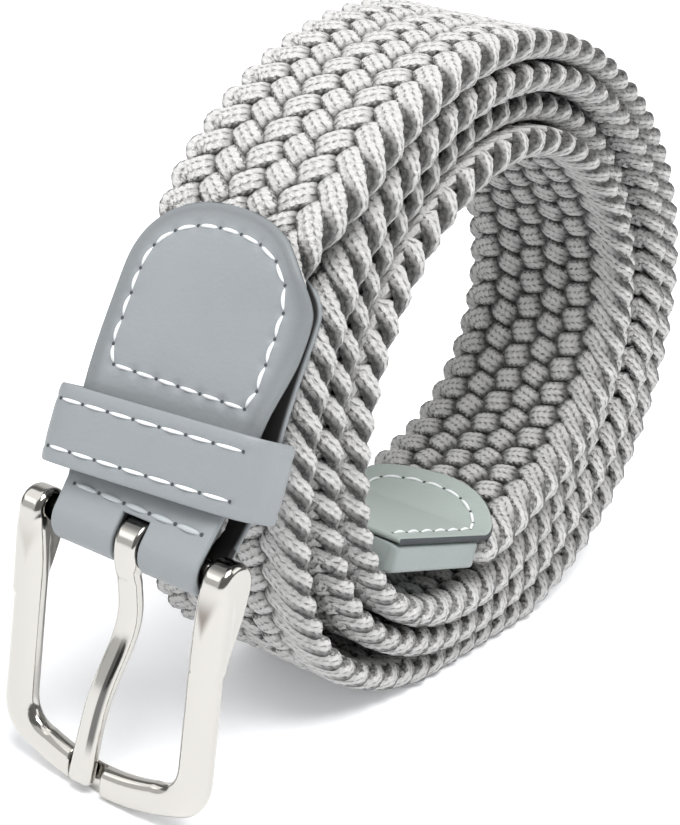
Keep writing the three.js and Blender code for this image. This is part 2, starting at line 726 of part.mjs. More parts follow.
function buildBelt() {
  const belt = new THREE.Group();
  const bar = strapFrame(0.5);
  const barFrame = { origin: middleAt(RUN_OUT[0].angle), along: bar.along, out: bar.out };
  const fold = toManifold(leatherFold(barFrame)).subtract(toManifold(slotCut(barFrame)));
  belt.add(named('braided_band', braidedBand(), MATERIALS.braid));
  belt.add(named('leather_fold', fromManifold(fold), MATERIALS.leather));
  belt.add(named('keeper_loop', keeperLoop(), MATERIALS.leather));
  belt.add(buildBuckle(barFrame));
  belt.add(buildTip());
  return belt;
}

export default buildBelt();
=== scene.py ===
"""Looks of a braided stretch belt, coiled and stood on edge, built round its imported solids."""
import json
import math

import bpy
import numpy as np
from mathutils import Matrix, Vector


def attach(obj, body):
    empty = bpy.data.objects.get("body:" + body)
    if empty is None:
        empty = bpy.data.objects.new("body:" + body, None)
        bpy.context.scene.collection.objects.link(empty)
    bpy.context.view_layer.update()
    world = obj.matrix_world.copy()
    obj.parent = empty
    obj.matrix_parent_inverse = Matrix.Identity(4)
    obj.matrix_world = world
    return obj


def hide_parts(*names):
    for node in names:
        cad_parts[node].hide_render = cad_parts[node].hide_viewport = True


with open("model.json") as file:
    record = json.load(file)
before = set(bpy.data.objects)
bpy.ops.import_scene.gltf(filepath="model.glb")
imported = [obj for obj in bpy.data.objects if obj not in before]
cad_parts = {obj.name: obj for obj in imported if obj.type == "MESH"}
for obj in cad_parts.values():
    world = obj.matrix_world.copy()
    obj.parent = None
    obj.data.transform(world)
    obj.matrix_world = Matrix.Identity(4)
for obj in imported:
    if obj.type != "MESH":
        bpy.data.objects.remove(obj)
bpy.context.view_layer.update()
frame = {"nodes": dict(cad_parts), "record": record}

# Lengths are millimetres, as on the real belt; the floor, the lights and the noise scales are in metres
MM = 0.001
X_AXIS = np.array([1.0, 0, 0])

# Distances between points, a coarser and a finer one; the script uses the finer
STEPS = {
    "braid": (1.6, 0.75), "hidden_braid": (2.4, 1.3), "fold": (1.2, 0.45), "tip": (1.2, 0.5),
    "frame": (0.55, 0.33), "prong": (0.4, 0.22),
}

# The strap's shape, as in the solids
BELT_WIDTH = 35.0
BRAID_THICK = 5.0
LEATHER_THICK = 1.5
LEAF_GAP = 0.4
GAP = 0.3
COIL_CENTRE = np.array([0.45, 4.44, 56.9])
RUN_OUT = [
    {"angle": -10.2, "radius": 73.4, "twist": 0},
    {"angle": -5.9, "radius": 68.3, "twist": 1},
    {"angle": 5.5, "radius": 62.5, "twist": 7},
    {"angle": 20, "radius": 59.4, "twist": 6},
    {"angle": 32, "radius": 58.9, "twist": 2.5},
]
COIL = [
    {"angle": 0, "turn2": 51.3, "turn3": 45.5, "turn4": 39.7},
    {"angle": 45, "turn1": 58.7, "turn2": 51.9, "turn3": 46.1, "turn4": 40.2},
    {"angle": 90, "turn1": 58.9, "turn2": 53.4, "turn3": 47.9, "turn4": 42.5},
    {"angle": 135, "turn1": 61.2, "turn2": 55.4, "turn3": 49.6, "turn4": 43.7},
    {"angle": 180, "turn1": 68.4, "turn2": 58.4, "turn3": 49.6, "turn4": 43.4},
    {"angle": 225, "turn1": 64.9, "turn2": 52.8, "turn3": 45.2, "turn4": 36.6},
    {"angle": 270, "turn1": 55.5, "turn2": 49.1, "turn3": 43.4},
    {"angle": 315, "turn1": 56.5, "turn2": 48.3, "turn3": 42.1},
]
BRAID_END = [
    {"angle": 1322, "radius": 34.0},
    {"angle": 1334, "radius": 34.3},
    {"angle": 1345, "radius": 34.0},
    {"angle": 1350, "radius": 33.3},
    {"angle": 1356.3, "radius": 32.5},
    {"angle": 1363, "radius": 32.1},
]
SIDEWAYS = [
    {"angle": 32, "shift": 0},
    {"angle": 90, "shift": 0.8},
    {"angle": 180, "shift": -1.2},
    {"angle": 270, "shift": -1.2},
    {"angle": 360, "shift": 0.3},
    {"angle": 450, "shift": 1.6},
    {"angle": 600, "shift": 0.9},
    {"angle": 720, "shift": 0.9},
    {"angle": 830, "shift": -1.0},
    {"angle": 900, "shift": -0.5},
    {"angle": 990, "shift": 1.5},
    {"angle": 1080, "shift": 2.3},
    {"angle": 1170, "shift": 2.6},
    {"angle": 1280, "shift": 2.2},
    {"angle": 1363, "shift": 2.0},
]
TUCKED = {"half_width": 14.9, "middle": -0.7, "thick": 4.5, "until": 48, "free_from": 62}
FREE_MIDDLE = 0.5
PRESSED = {"length": 7.5, "fade": 3, "thick": 2.9, "half_width": 14.9}

BRAID_START = 8.0
LEAF_START = 5.0
FOLD = {"far": -14.3, "near": 15.9}
FRONT_LEAF = {"far": -16.5, "near": 16.2, "end": 53.6, "far_round": 13, "near_round": 15.5}
BACK_LEAF = {"far": -16.5, "near": 16.4, "end": 49.5, "far_round": 9, "near_round": 9}
BENT_EDGE = {"drop": 2.2, "wider": 1.5, "from": 12.5, "starts": 20, "full": 36, "fades": 41, "ends": 50}
LEAF_POWER = 2.3
LEAF_OFFSET = TUCKED["thick"] / 2 + LEAF_GAP + LEATHER_THICK / 2
KEEPER = {
    "at": 14.5, "height": 12.7, "half_width": 20.3, "half_depth": 7.6, "wall": 1.7, "power": 5,
    "shift": -0.7, "turn": 3,
}
BAR = {"radius": 1.8, "half_length": 19.6, "chamfer": 0.3, "points": 32}
FRAME = {
    "lean": 4, "front": 3.8, "thick": 3.6, "half_width": 22, "leg_width": 6.2, "top": 1.2, "top_round": 3.5,
    "waist": 0.3, "waist_at": 12, "bottom": 44.05, "bar_height": 5.5, "bow": 3, "corner": 8,
    "corner_drop": 6.5, "inner_corner": 4.5, "inner_bow": 2.2, "shift": -0.45,
}
LUG = {"inner": 16.8, "back": 3.8, "drop": 0.8, "fade": 15, "edge": 1.3, "side": 0.25, "sunk": 0.1}
PRONG = {
    "width": 4.4, "thick": 2.5, "ring": 4.3, "top": 1.6, "foot": -3.7, "hollow": 3.8, "hollow_at": 14,
    "hollow_reach": 9.5, "tip": 42.6, "tip_width": 4.8, "tip_length": 12, "proud": 0.9,
}
PRONG_SLOT = {"side": 0.65, "height": 9.9, "middle": -0.3}
TIP_NOTCH = {"side": 1.08, "shift": 0.72, "height": 14, "middle": 3}
TIP = {"length": 27.5, "thick": 5.6, "half_width": 16.2, "start_z": -33.4, "angle": 16.5, "leaf": 1.0}
LEAF_END = {"over": 16, "middle": 0.5, "near_round": 15, "far_round": 5, "power": 2.1}


def detail(pair):
    """The second, finer of two values."""
    return pair[1]


def smoothstep(x, low, high):
    share = np.clip((np.asarray(x, float) - low) / (high - low), 0, 1)
    return share * share * (3 - 2 * share)


def unit(vectors):
    return vectors / np.linalg.norm(vectors, axis=-1, keepdims=True)


def natural_spline(xs, ys):
    """A function of x through the given points, with no bend at its ends."""
    xs, ys = np.array(xs, float), np.array(ys, float)
    steps = np.diff(xs)
    matrix = np.eye(len(xs))
    right = np.zeros(len(xs))
    for i in range(1, len(xs) - 1):
        matrix[i, i - 1 : i + 2] = steps[i - 1], 2 * (steps[i - 1] + steps[i]), steps[i]
        right[i] = 6 * ((ys[i + 1] - ys[i]) / steps[i] - (ys[i] - ys[i - 1]) / steps[i - 1])
    bends = np.linalg.solve(matrix, right)

    def value(x):
        low = np.clip(np.searchsorted(xs, x) - 1, 0, len(xs) - 2)
        a = (xs[low + 1] - x) / steps[low]
        b = (x - xs[low]) / steps[low]
        bend = ((a**3 - a) * bends[low] + (b**3 - b) * bends[low + 1]) * steps[low] ** 2 / 6
        return a * ys[low] + b * ys[low + 1] + bend

    return value


def strap_rows():
    rows = [(row["angle"], row["radius"]) for row in RUN_OUT]
    for turn in range(4):
        name = f"turn{turn + 1}"
        rows += [(row["angle"] + 360 * turn, row[name]) for row in COIL if name in row]
    return rows + [(row["angle"], row["radius"]) for row in BRAID_END]


ROWS = strap_rows()
radius_at = natural_spline([row[0] for row in ROWS], [row[1] for row in ROWS])
shift_at = natural_spline([row["angle"] for row in SIDEWAYS], [row["shift"] for row in SIDEWAYS])


def twist_at(angle):
    rows = [(row["angle"], row["twist"]) for row in RUN_OUT] + [(45, 0)]
    twist = np.zeros_like(angle)
    for (low, first), (high, second) in zip(rows, rows[1:]):
        inside = (angle > low) & (angle <= high)
        twist[inside] = first + (second - first) * smoothstep(angle[inside], low, high)
    return np.radians(twist)


def middle_at(angle):
    turn = np.radians(angle)
    radius = radius_at(angle)
    across = np.where(angle > SIDEWAYS[0]["angle"], shift_at(angle), 0)
    flat_level = COIL_CENTRE[2] - BRAID_THICK / 2
    height = np.maximum(radius * np.sin(turn), -flat_level)
    return np.stack([across, -radius * np.cos(turn), height], axis=1) + COIL_CENTRE


def measure_strap():
    """The strap's frames in a fine table against the length from the buckle bar."""
    angles = np.arange(ROWS[0][0], ROWS[-1][0] + 0.01, 0.25)
    middles = middle_at(angles)
    lengths = np.concatenate([[0], np.cumsum(np.linalg.norm(np.diff(middles, axis=0), axis=1))])
    reach = 0.6
    along = middle_at(angles + reach) - middle_at(angles - reach)
    along[:, 0] = 0
    along = unit(along)
    flat_out = np.stack([np.zeros(len(along)), -along[:, 2], along[:, 1]], axis=1)
    twist = twist_at(angles)[:, None]
    across = X_AXIS * np.cos(twist) - flat_out * np.sin(twist)
    out = flat_out * np.cos(twist) + X_AXIS * np.sin(twist)
    return {"lengths": lengths, "middle": middles, "along": along, "out": out, "across": across}


STRAP = measure_strap()
STRAP_LENGTH = STRAP["lengths"][-1]


def strap_vector(name, length):
    table = STRAP[name]
    return np.stack([np.interp(length, STRAP["lengths"], table[:, i]) for i in range(3)], axis=-1)


def on_strap(length, across, out):
    """Points at a length from the bar, at a distance across the strap and outwards from its middle."""
    length = np.asarray(length, float)
    before = np.minimum(length, 0)[..., None]
    after = np.maximum(length - STRAP_LENGTH, 0)[..., None]
    return (
        strap_vector("middle", length)
        + strap_vector("along", length) * (before + after)
        + strap_vector("across", length) * np.asarray(across, float)[..., None]
        + strap_vector("out", length) * np.asarray(out, float)[..., None]
    )


BAR_ORIGIN = STRAP["middle"][0]
BAR_ALONG = strap_vector("along", 0.5)
BAR_OUT = strap_vector("out", 0.5)


def braid_profile(length):
    """Half width, half thickness and sideways middle of the braid at a length."""
    pressed_from = STRAP_LENGTH - PRESSED["length"]
    free = smoothstep(length, TUCKED["until"], TUCKED["free_from"])
    pressed = smoothstep(length, pressed_from - PRESSED["fade"], pressed_from)

    def mix(start, middle, end):
        value = start + (middle - start) * free
        return value + (end - value) * pressed

    half_width = mix(TUCKED["half_width"], BELT_WIDTH / 2, PRESSED["half_width"])
    half_thick = mix(TUCKED["thick"], BRAID_THICK, PRESSED["thick"]) / 2
    return half_width, half_thick, mix(TUCKED["middle"], FREE_MIDDLE, 0.0)


# Making pieces from arrays


def make_mesh(name, points, quads, places=None):
    """A mesh object from points in millimetres and four-cornered faces."""
    mesh = bpy.data.meshes.new(name)
    points = np.asarray(points, np.float32).reshape(-1, 3) * MM
    quads = np.asarray(quads, np.int32)
    mesh.vertices.add(len(points))
    mesh.vertices.foreach_set("co", points.ravel())
    mesh.loops.add(quads.size)
    mesh.loops.foreach_set("vertex_index", quads.ravel())
    mesh.polygons.add(len(quads))
    mesh.polygons.foreach_set("loop_start", np.arange(0, quads.size, 4, dtype=np.int32))
    mesh.polygons.foreach_set("use_smooth", np.ones(len(quads), bool))
    if places is not None:
        data = mesh.attributes.new("place", "FLOAT_VECTOR", "POINT")
        data.data.foreach_set("vector", np.asarray(places, np.float32).ravel())
    mesh.update()
    mesh.validate()
    piece = bpy.data.objects.new(name, mesh)
    bpy.context.collection.objects.link(piece)
    return piece


def ring_turns(size):
    return 2 * math.pi * (np.arange(size) + 0.5) / size


def ring_quads(rings, size, closed=False):
    """Faces between rings of points; the last ring joins the first where closed."""
    ring = np.arange(rings if closed else rings - 1)[:, None] * size
    following_ring = (ring + size) % (rings * size)
    point = np.arange(size)[None, :]
    following = (point + 1) % size
    corners = [ring + point, ring + following, following_ring + following, following_ring + point]
    return np.stack(corners, axis=-1).reshape(-1, 4)


def tube_quads(rings, size):
    """Faces between rings of points, and the two ends closed by strips of four-cornered faces."""
    cap = np.array([[i, size - 1 - i, size - 2 - i, i + 1] for i in range(size // 2 - 1)])
    last = (rings - 1) * size
    return np.concatenate([ring_quads(rings, size), cap, last + cap[:, ::-1]])


def tube_mesh(name, tubes, places=None):
    """One mesh of several closed tubes, each an array of rings of points."""
    quads = []
    count = 0
    for tube in tubes:
        quads.append(tube_quads(*tube.shape[:2]) + count)
        count += tube.shape[0] * tube.shape[1]
    points = np.concatenate([tube.reshape(-1, 3) for tube in tubes])
    return make_mesh(name, points, np.concatenate(quads), places)


def sheet_quads(rows, columns, open_cells=None):
    """Faces of a sheet of two grids of points, closed along its borders and round its open cells."""
    index = np.arange(rows * columns).reshape(rows, columns)
    filled = np.ones((rows - 1, columns - 1), bool) if open_cells is None else ~open_cells
    a, b, c, d = index[:-1, :-1], index[:-1, 1:], index[1:, 1:], index[1:, :-1]
    top = np.stack([a, d, c, b], axis=-1)[filled]
    other = rows * columns
    padded = np.pad(filled, 1)
    sides = [(padded[:-2, 1:-1], a, b), (padded[2:, 1:-1], c, d)]
    sides += [(padded[1:-1, :-2], d, a), (padded[1:-1, 2:], b, c)]
    walls = []
    for neighbour, first, second in sides:
        border = filled & ~neighbour
        first, second = first[border], second[border]
        walls.append(np.stack([first, second, second + other, first + other], axis=-1))
    return np.concatenate([top, top[:, ::-1] + other, *walls])


def finish_piece(piece, material, body="strap", replaces=()):
    piece.data.materials.clear()
    piece.data.materials.append(material)
    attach(piece, body)
    if replaces:
        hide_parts(*replaces)
    return piece


# Materials


class Value:
    """A number that a material's nodes work out; a sign between two values adds the node for it."""

    def __init__(self, material, socket):
        self.material = material
        self.socket = socket

    def __add__(self, other):
        return calculate("ADD", self, other)

    def __sub__(self, other):
        return calculate("SUBTRACT", self, other)

    def __rsub__(self, other):
        return calculate("SUBTRACT", other, self)

    def __mul__(self, other):
        return calculate("MULTIPLY", self, other)

    def __truediv__(self, other):
        return calculate("DIVIDE", self, other)

    def __abs__(self):
        return calculate("ABSOLUTE", self)

    def eased(self, low, high):
        """A share that rises smoothly from 0 to 1 as the value goes from low to high."""
        node = add_node(self.material, "ShaderNodeMapRange", Value=self, From_Min=low, From_Max=high)
        node.interpolation_type = "SMOOTHSTEP"
        return Value(self.material, node.outputs[0])

    def between(self, start, full, fades, end):
        return self.eased(start, full) * (1.0 - self.eased(fades, end))


def put(owner, socket, value):
    """Set a node's input to a number or color, or link it to what another node gives."""
    if isinstance(value, Value):
        value = value.socket
    if isinstance(value, bpy.types.NodeSocket):
        owner.node_tree.links.new(value, socket)
    else:
        socket.default_value = value


def add_node(owner, kind, **inputs):
    node = owner.node_tree.nodes.new(kind)
    for name, value in inputs.items():
        put(owner, node.inputs[name.replace("_", " ")], value)
    return node


def calculate(operation, *values):
    material = next(value.material for value in values if isinstance(value, Value))
    node = add_node(material, "ShaderNodeMath")
    node.operation = operation
    for socket, value in zip(node.inputs, values):
        put(material, socket, value)
    return Value(material, node.outputs[0])


def split(material, vector):
    node = add_node(material, "ShaderNodeSeparateXYZ", Vector=vector)
    return [Value(material, output) for output in node.outputs]


def new_material(name, color, roughness, **inputs):
    material = bpy.data.materials.new(name)
    material.use_nodes = True
    inputs.update({"Base_Color": (*color, 1), "Roughness": roughness})
    for socket, value in inputs.items():
        set_input(material, socket.replace("_", " "), value)
    return material


def set_input(material, name, value):
    put(material, material.node_tree.nodes["Principled BSDF"].inputs[name], value)


def set_bump(material, height, distance, strength=1.0):
    bump = add_node(material, "ShaderNodeBump", Height=height, Distance=distance * MM, Strength=strength)
    set_input(material, "Normal", bump.outputs["Normal"])


def mix_color(material, share, first, second):
    mix = add_node(material, "ShaderNodeMix")
    mix.data_type = "RGBA"
    # A color mix has three sockets named A, B and Result, and the color ones are found by their type
    sockets = [socket for socket in mix.inputs if socket.type == "RGBA"]
    for socket, color in zip(sockets, (first, second)):
        put(material, socket, (*color, 1) if isinstance(color, tuple) else color)
    put(material, mix.inputs["Factor"], share)
    return [socket for socket in mix.outputs if socket.type == "RGBA"][0]


def object_place(material):
    return add_node(material, "ShaderNodeTexCoord").outputs["Object"]


def mesh_place(material):
    """The three numbers that the mesh holds at each of its points."""
    node = add_node(material, "ShaderNodeAttribute")
    node.attribute_name = "place"
    return split(material, node.outputs["Vector"])


def noise(material, spot, scale, detail, roughness=0.55):
    settings = {"Scale": scale, "Detail": detail, "Roughness": roughness}
    node = add_node(material, "ShaderNodeTexNoise", Vector=spot, **settings)
    return Value(material, node.outputs["Fac"])


# A strand has three ridges of slanted knots along it
STRAND = {"width": 5.0, "thick": 2.5, "rise": 1.25, "points": 14}
KNOTS = {"ridge": 1.3, "length": 1.0, "slant": 0.6, "relief": 0.55, "valley": 0.8, "ends": 0.7}
UNEVEN = {
    "phase": 0.7, "phase_scale": 700, "depth": 1.5, "depth_scale": 1400, "fuzz": 0.3, "fuzz_scale": 3000,
}
# The darker cord colour is painted shade in the hollows between the knots
CORD = {"plain": (0.66, 0.65, 0.635), "light": (0.59, 0.585, 0.575), "pit_shade": (0.19, 0.188, 0.184)}
DEEP_SHADE = {"color": (0.03, 0.029, 0.028), "full": 0.92, "sides": (0.68, 0.97), "dive": (0.04, 0.6), "knots": 0.3}
PIT_SHADE = (0.3, 1.15)
MEAN_DIP = 0.45


def braid_material():
    """Matt elastic cords: ridges of knots, with painted shade in the hollows between knots, on a strand's
    sides and where its ends dive under.
    """
    material = new_material("braid", CORD["plain"], 0.95, Sheen_Weight=0.1, Specular_IOR_Level=0.2)
    along, across, level = mesh_place(material)
    spot = object_place(material)
    ridge = across / KNOTS["ridge"]
    number = calculate("ROUND", ridge)
    offset = ridge - number
    valley = calculate("POWER", abs(offset) * 2.0, 2.0)
    wobble = noise(material, spot, UNEVEN["phase_scale"], 2) * UNEVEN["phase"]
    phase = along / KNOTS["length"] + number * 0.5 + offset * number * KNOTS["slant"] + wobble
    gap = (1.0 - calculate("COSINE", phase * (2 * math.pi))) * 0.5
    across_dip = valley * KNOTS["valley"] + (1 - KNOTS["valley"])
    dip = across_dip * (gap * KNOTS["ends"] + (1 - KNOTS["ends"]))
    dip = dip + (noise(material, spot, UNEVEN["depth_scale"], 3) - 0.5) * UNEVEN["depth"]
    fuzz = noise(material, spot, UNEVEN["fuzz_scale"], 4) * UNEVEN["fuzz"]
    set_bump(material, 1.0 - dip + fuzz, KNOTS["relief"])
    # Painted shade: near black on a strand's sides and where it dives under another, its border broken up by
    # the knots
    knots = (dip - MEAN_DIP) * DEEP_SHADE["knots"]
    sides = (abs(across) + knots).eased(*(share * STRAND["width"] / 2 for share in DEEP_SHADE["sides"]))
    lower = 1.0 - level
    dive = (lower * knots + lower).eased(*DEEP_SHADE["dive"])
    deep_shade = calculate("MAXIMUM", sides, dive) * DEEP_SHADE["full"]
    cord = mix_color(material, dip.eased(*PIT_SHADE), CORD["light"], CORD["pit_shade"])
    set_input(material, "Base Color", mix_color(material, deep_shade, cord, DEEP_SHADE["color"]))
    return material


LEATHER_GRAIN = {"grain": 1500, "pores": 1100.0, "relief": 0.08, "strength": 0.6, "clouds": 90}
RIM_DARK = 0.72
# Painted shade: the leather's faces towards the braid are painted nearly black for the shade between them
INSIDE_SHADE = (0.02, 0.02, 0.02)


def leather_material(name, dark, light):
    """Grained leather: darker on its embossed rim, and painted nearly black on its inner faces for the shade
    they lie in.
    """
    material = new_material(name, light, 0.48, Specular_IOR_Level=0.45)
    rim_share, inside_shade_share, _ = mesh_place(material)
    spot = object_place(material)
    grain = noise(material, spot, LEATHER_GRAIN["grain"], 5, 0.6)
    voronoi = add_node(material, "ShaderNodeTexVoronoi", Vector=spot, Scale=LEATHER_GRAIN["pores"])
    height = grain + Value(material, voronoi.outputs["Distance"]) * 0.5
    set_bump(material, height, LEATHER_GRAIN["relief"], LEATHER_GRAIN["strength"])
    color = mix_color(material, noise(material, spot, LEATHER_GRAIN["clouds"], 3), dark, light)
    color = mix_color(material, rim_share, color, tuple(RIM_DARK * part for part in dark))
    set_input(material, "Base Color", mix_color(material, inside_shade_share, color, INSIDE_SHADE))
    return material


# Painted reflection and shade on the metal: a painted reflection of the dark strap on top beside the leather,
# painted shade in a stripe along the prong's near side and in a wedge on the front of each lug, where the
# round lug runs out into the flat leg
METAL = {"color": (0.475, 0.46, 0.431), "dark": (0.05, 0.05, 0.05), "darkest": 0.85}
TOP_SHADE = {"z": (43.2, 44.8), "x": (-12, -6), "facing": (0.6, 0.85)}
PRONG_STRIPE_SHADE = {"x": (0.4, 0.7, 1.5, 1.9), "z": (7, 11, 25, 29)}
CREASE_SHADE = {
    "foot": 34, "top": 42.8, "fade": 4.5, "x": 18.6, "spread": 0.4, "edge": 1.6, "far": 0.25, "near": 0.8,
    "facing": (0.3, 0.6), "color": (0.13, 0.108, 0.09),
}


# Painted shade in a brownish wedge below each lug, where the round lug runs out into the flat leg
def lug_crease_shade(x, z, facing_front):
    own = x - (BAR_ORIGIN[0] + FRAME["shift"])
    inside = (z - CREASE_SHADE["foot"]) * CREASE_SHADE["spread"] - abs(abs(own) - CREASE_SHADE["x"])
    below = 1.0 - z.eased(CREASE_SHADE["top"] - CREASE_SHADE["fade"], CREASE_SHADE["top"])
    depth = own.eased(-1, 1) * (CREASE_SHADE["near"] - CREASE_SHADE["far"]) + CREASE_SHADE["far"]
    return inside.eased(0.0, CREASE_SHADE["edge"]) * below * facing_front.eased(*CREASE_SHADE["facing"]) * depth


def nickel_material(name, prong_stripe_shade):
    """Polished nickel with its painted reflection and shade, of which the painted stripe along the prong is
    on the prong alone.
    """
    material = new_material(name, METAL["color"], 0.14, Metallic=1.0)
    coordinates = add_node(material, "ShaderNodeTexCoord").outputs
    _, facing_back, facing_up = split(material, coordinates["Normal"])
    x, _, z = [part / MM for part in split(material, coordinates["Object"])]
    shade = z.eased(*TOP_SHADE["z"]) * x.eased(*TOP_SHADE["x"]) * facing_up.eased(*TOP_SHADE["facing"])
    if prong_stripe_shade:
        lean = (PRONG["top"] - PRONG["foot"]) / PRONG["tip"]
        beside = x - ((z - BAR_ORIGIN[2]) * lean + (BAR_ORIGIN[0] + PRONG["top"]))
        shade = calculate("MAXIMUM", shade, beside.between(*PRONG_STRIPE_SHADE["x"]) * z.between(*PRONG_STRIPE_SHADE["z"]))
    crease_shade = lug_crease_shade(x, z, facing_back * -1.0)
    color = mix_color(material, crease_shade, METAL["color"], CREASE_SHADE["color"])
    set_input(material, "Base Color", mix_color(material, shade * METAL["darkest"], color, METAL["dark"]))
    return material


BRAID = braid_material()
LEATHER = leather_material("leather", (0.226, 0.244, 0.255), (0.252, 0.272, 0.283))
# The tip's leaf and block are one leather, painted lighter on the leaf for the coil's shade over it and
# darker on the block where the light falls full on it
TIP_LEATHER_LIT = leather_material("tip_leather", (0.3, 0.338, 0.318), (0.327, 0.369, 0.348))
BLOCK_LEATHER_SHADED = leather_material("shaded_block_leather", (0.24, 0.268, 0.262), (0.262, 0.296, 0.287))
THREAD = new_material("thread", (0.74, 0.76, 0.77), 0.7)
SHADED_THREAD = new_material("shaded_thread", (0.42, 0.45, 0.46), 0.8)
# Near black: painted shade in needle holes and in the gap under the tip's leaf, and the leaf's own dark raw
# edge
DARK_EDGE_AND_HOLE_SHADE = new_material("raw_edge_and_hole_shade", (0.05, 0.055, 0.06), 0.9)
NICKEL = nickel_material("nickel", False)
PRONG_NICKEL = nickel_material("prong_nickel", True)


# The braid: seven flat strands that run from edge to edge over and under each other

STRANDS = 7
CYCLE = 2 * STRANDS
PITCH = 5.3
ADVANCE = PITCH / 2
COLUMN = 5.2
STEP_LENGTH = math.hypot(COLUMN, ADVANCE)
EDGE_COLUMN = 2.5 * COLUMN
NEAR_EDGE = {"reach": 17.5, "width": 3.5, "narrow": 0.1}
FAR_EDGE = {"reach": 15.2, "width": 4.9, "narrow": 0.3}
# The crossings are not quite centred: the band's middle lies this far to the near side of theirs
BAND_MIDDLE = 1.15
FOLDED = 0.75
# Round the near edge a strand of the outer turn runs on towards the buckle before it turns under, and one
# of the inner turns runs on the other way before it comes out on top
HOOK = {"shift": 5.3, "until": -0.55, "outer": 330, "inner": 800}
STEEPER = 0.133
SECTION_POWER = 0.95
# How much of the dark of a diving strand the lower side of each strand has round the near edge
EDGE_SHADE = {"depth": 0.6, "from": -0.3, "full": 0.8}
# The face inside the innermost turn is darker where it turns away from the light
INNER_SHADE = {"depth": 0.23, "rises": (1040, 1100), "falls": (1180, 1215), "under": (0, 0.7)}


def edge_across(turn, reach):
    bend = COLUMN / (reach - EDGE_COLUMN)
    return EDGE_COLUMN + (reach - EDGE_COLUMN) * (1 - np.abs(np.clip(turn, -1, 1)) ** bend)


def strand_path(step):
    """What a strand does at each step; one step is the way from a crossing to the next."""
    step = np.mod(step, CYCLE)
    outward = np.where(step < STRANDS, 1, -1)
    at_near = np.where(step > STRANDS * 1.5, step - CYCLE, step)
    at_far = step - STRANDS
    near = np.abs(at_near) < 1
    far = np.abs(at_far) < 1
    edge = near | far
    at_edge = np.clip(np.where(near, at_near, at_far), -1, 1)
    middle = outward * (EDGE_COLUMN - COLUMN * (np.where(outward > 0, step, at_far) - 1))
    near_across = edge_across(at_near, NEAR_EDGE["reach"])
    far_across = -edge_across(at_far, FAR_EDGE["reach"])
    weave = -outward * np.sin(math.pi / 2 * np.cos(math.pi * step))
    turning = np.sin(math.pi / 2 * np.sin(math.pi / 2 * at_edge))
    folded = math.pi / 2 * np.clip(at_edge / FOLDED, -1, 1)
    return {
        "across": np.where(near, near_across, np.where(far, far_across, middle)),
        "out": STRAND["rise"] * np.where(edge, turning, weave),
        "level": np.where(edge, 1.0, np.abs(weave)),
        "edge_share": np.where(edge, np.cos(math.pi / 2 * at_edge) ** 2, 0),
        "turn": np.where(near, folded, np.where(far, -folded, outward * math.pi / 2)),
        "far": far,
        "steeper": np.where(edge, 0, -outward * STEEPER * np.sin(math.pi * step)),
        "at_near": np.where(near, at_edge, 1),
    }


def hook(at_edge):
    """How far a strand runs on before it turns under, from 1 at its crossing on top to -1 underneath."""
    reached = np.clip((1 - at_edge) / (1 - HOOK["until"]), 0, 1)
    return HOOK["shift"] * reached * smoothstep(at_edge, -1, HOOK["until"])


def strand_section(points):
    """A flat section with full sides: across and thickness, both from -1 to 1."""
    turn = ring_turns(points)
    across = np.sign(np.cos(turn)) * np.abs(np.cos(turn)) ** SECTION_POWER
    thick = np.sign(np.sin(turn)) * np.abs(np.sin(turn)) ** SECTION_POWER
    return across, thick


def strand_tube(path, length, section):
    """Rings of points along a strand, on the strap."""
    section_across, section_thick = section
    centre = np.stack([length, path["across"], path["out"]], axis=1)
    tangent = unit(np.gradient(centre, axis=0))
    sideways = np.cos(path["turn"]) * np.where(path["far"], -1, 1)
    normal = np.stack([np.zeros_like(length), sideways, np.sin(path["turn"])], axis=1)
    side = unit(np.cross(tangent, -normal))
    normal = np.cross(side, -tangent)
    edge_width = np.where(path["far"], FAR_EDGE["width"], NEAR_EDGE["width"])
    width = STRAND["width"] + (edge_width - STRAND["width"]) * path["edge_share"]
    flat = (
        centre[:, None, :]
        + side[:, None, :] * (section_across[None, :, None] * width[:, None, None] / 2)
        + normal[:, None, :] * (section_thick[None, :, None] * STRAND["thick"] / 2)
    )
    length, across, out = np.moveaxis(flat, -1, 0)
    half_width, half_thick, middle = braid_profile(length)
    across = middle + (across - BAND_MIDDLE) * half_width / (BELT_WIDTH / 2)
    return on_strap(length, across, out * half_thick / (BRAID_THICK / 2))


def strand_place(path, step, length, section_across):
    """For the material: how far along and across the strand a point is, and how high it lies, lowered for
    painted shade on the coil's inner face and on each strand's lower side round the near edge.
    """
    narrow = 1 - path["edge_share"] * np.where(path["far"], FAR_EDGE["narrow"], NEAR_EDGE["narrow"])
    across = section_across[None, :] * (narrow * STRAND["width"] / 2)[:, None]
    at_near_edge = path["edge_share"] * np.where(path["far"], 0, 1)
    lower_side_shade = smoothstep(-section_across, EDGE_SHADE["from"], EDGE_SHADE["full"])
    inside = smoothstep(-path["out"] / STRAND["rise"], *INNER_SHADE["under"])
    inside = inside * smoothstep(length, *INNER_SHADE["rises"])
    inside = inside * (1 - smoothstep(length, *INNER_SHADE["falls"]))
    level = (path["level"] - INNER_SHADE["depth"] * inside)[:, None]
    level = level - EDGE_SHADE["depth"] * at_near_edge[:, None] * lower_side_shade
    along = np.repeat((step * STEP_LENGTH)[:, None], len(section_across), axis=1)
    return np.stack([along, across, level], axis=-1).reshape(-1, 3)


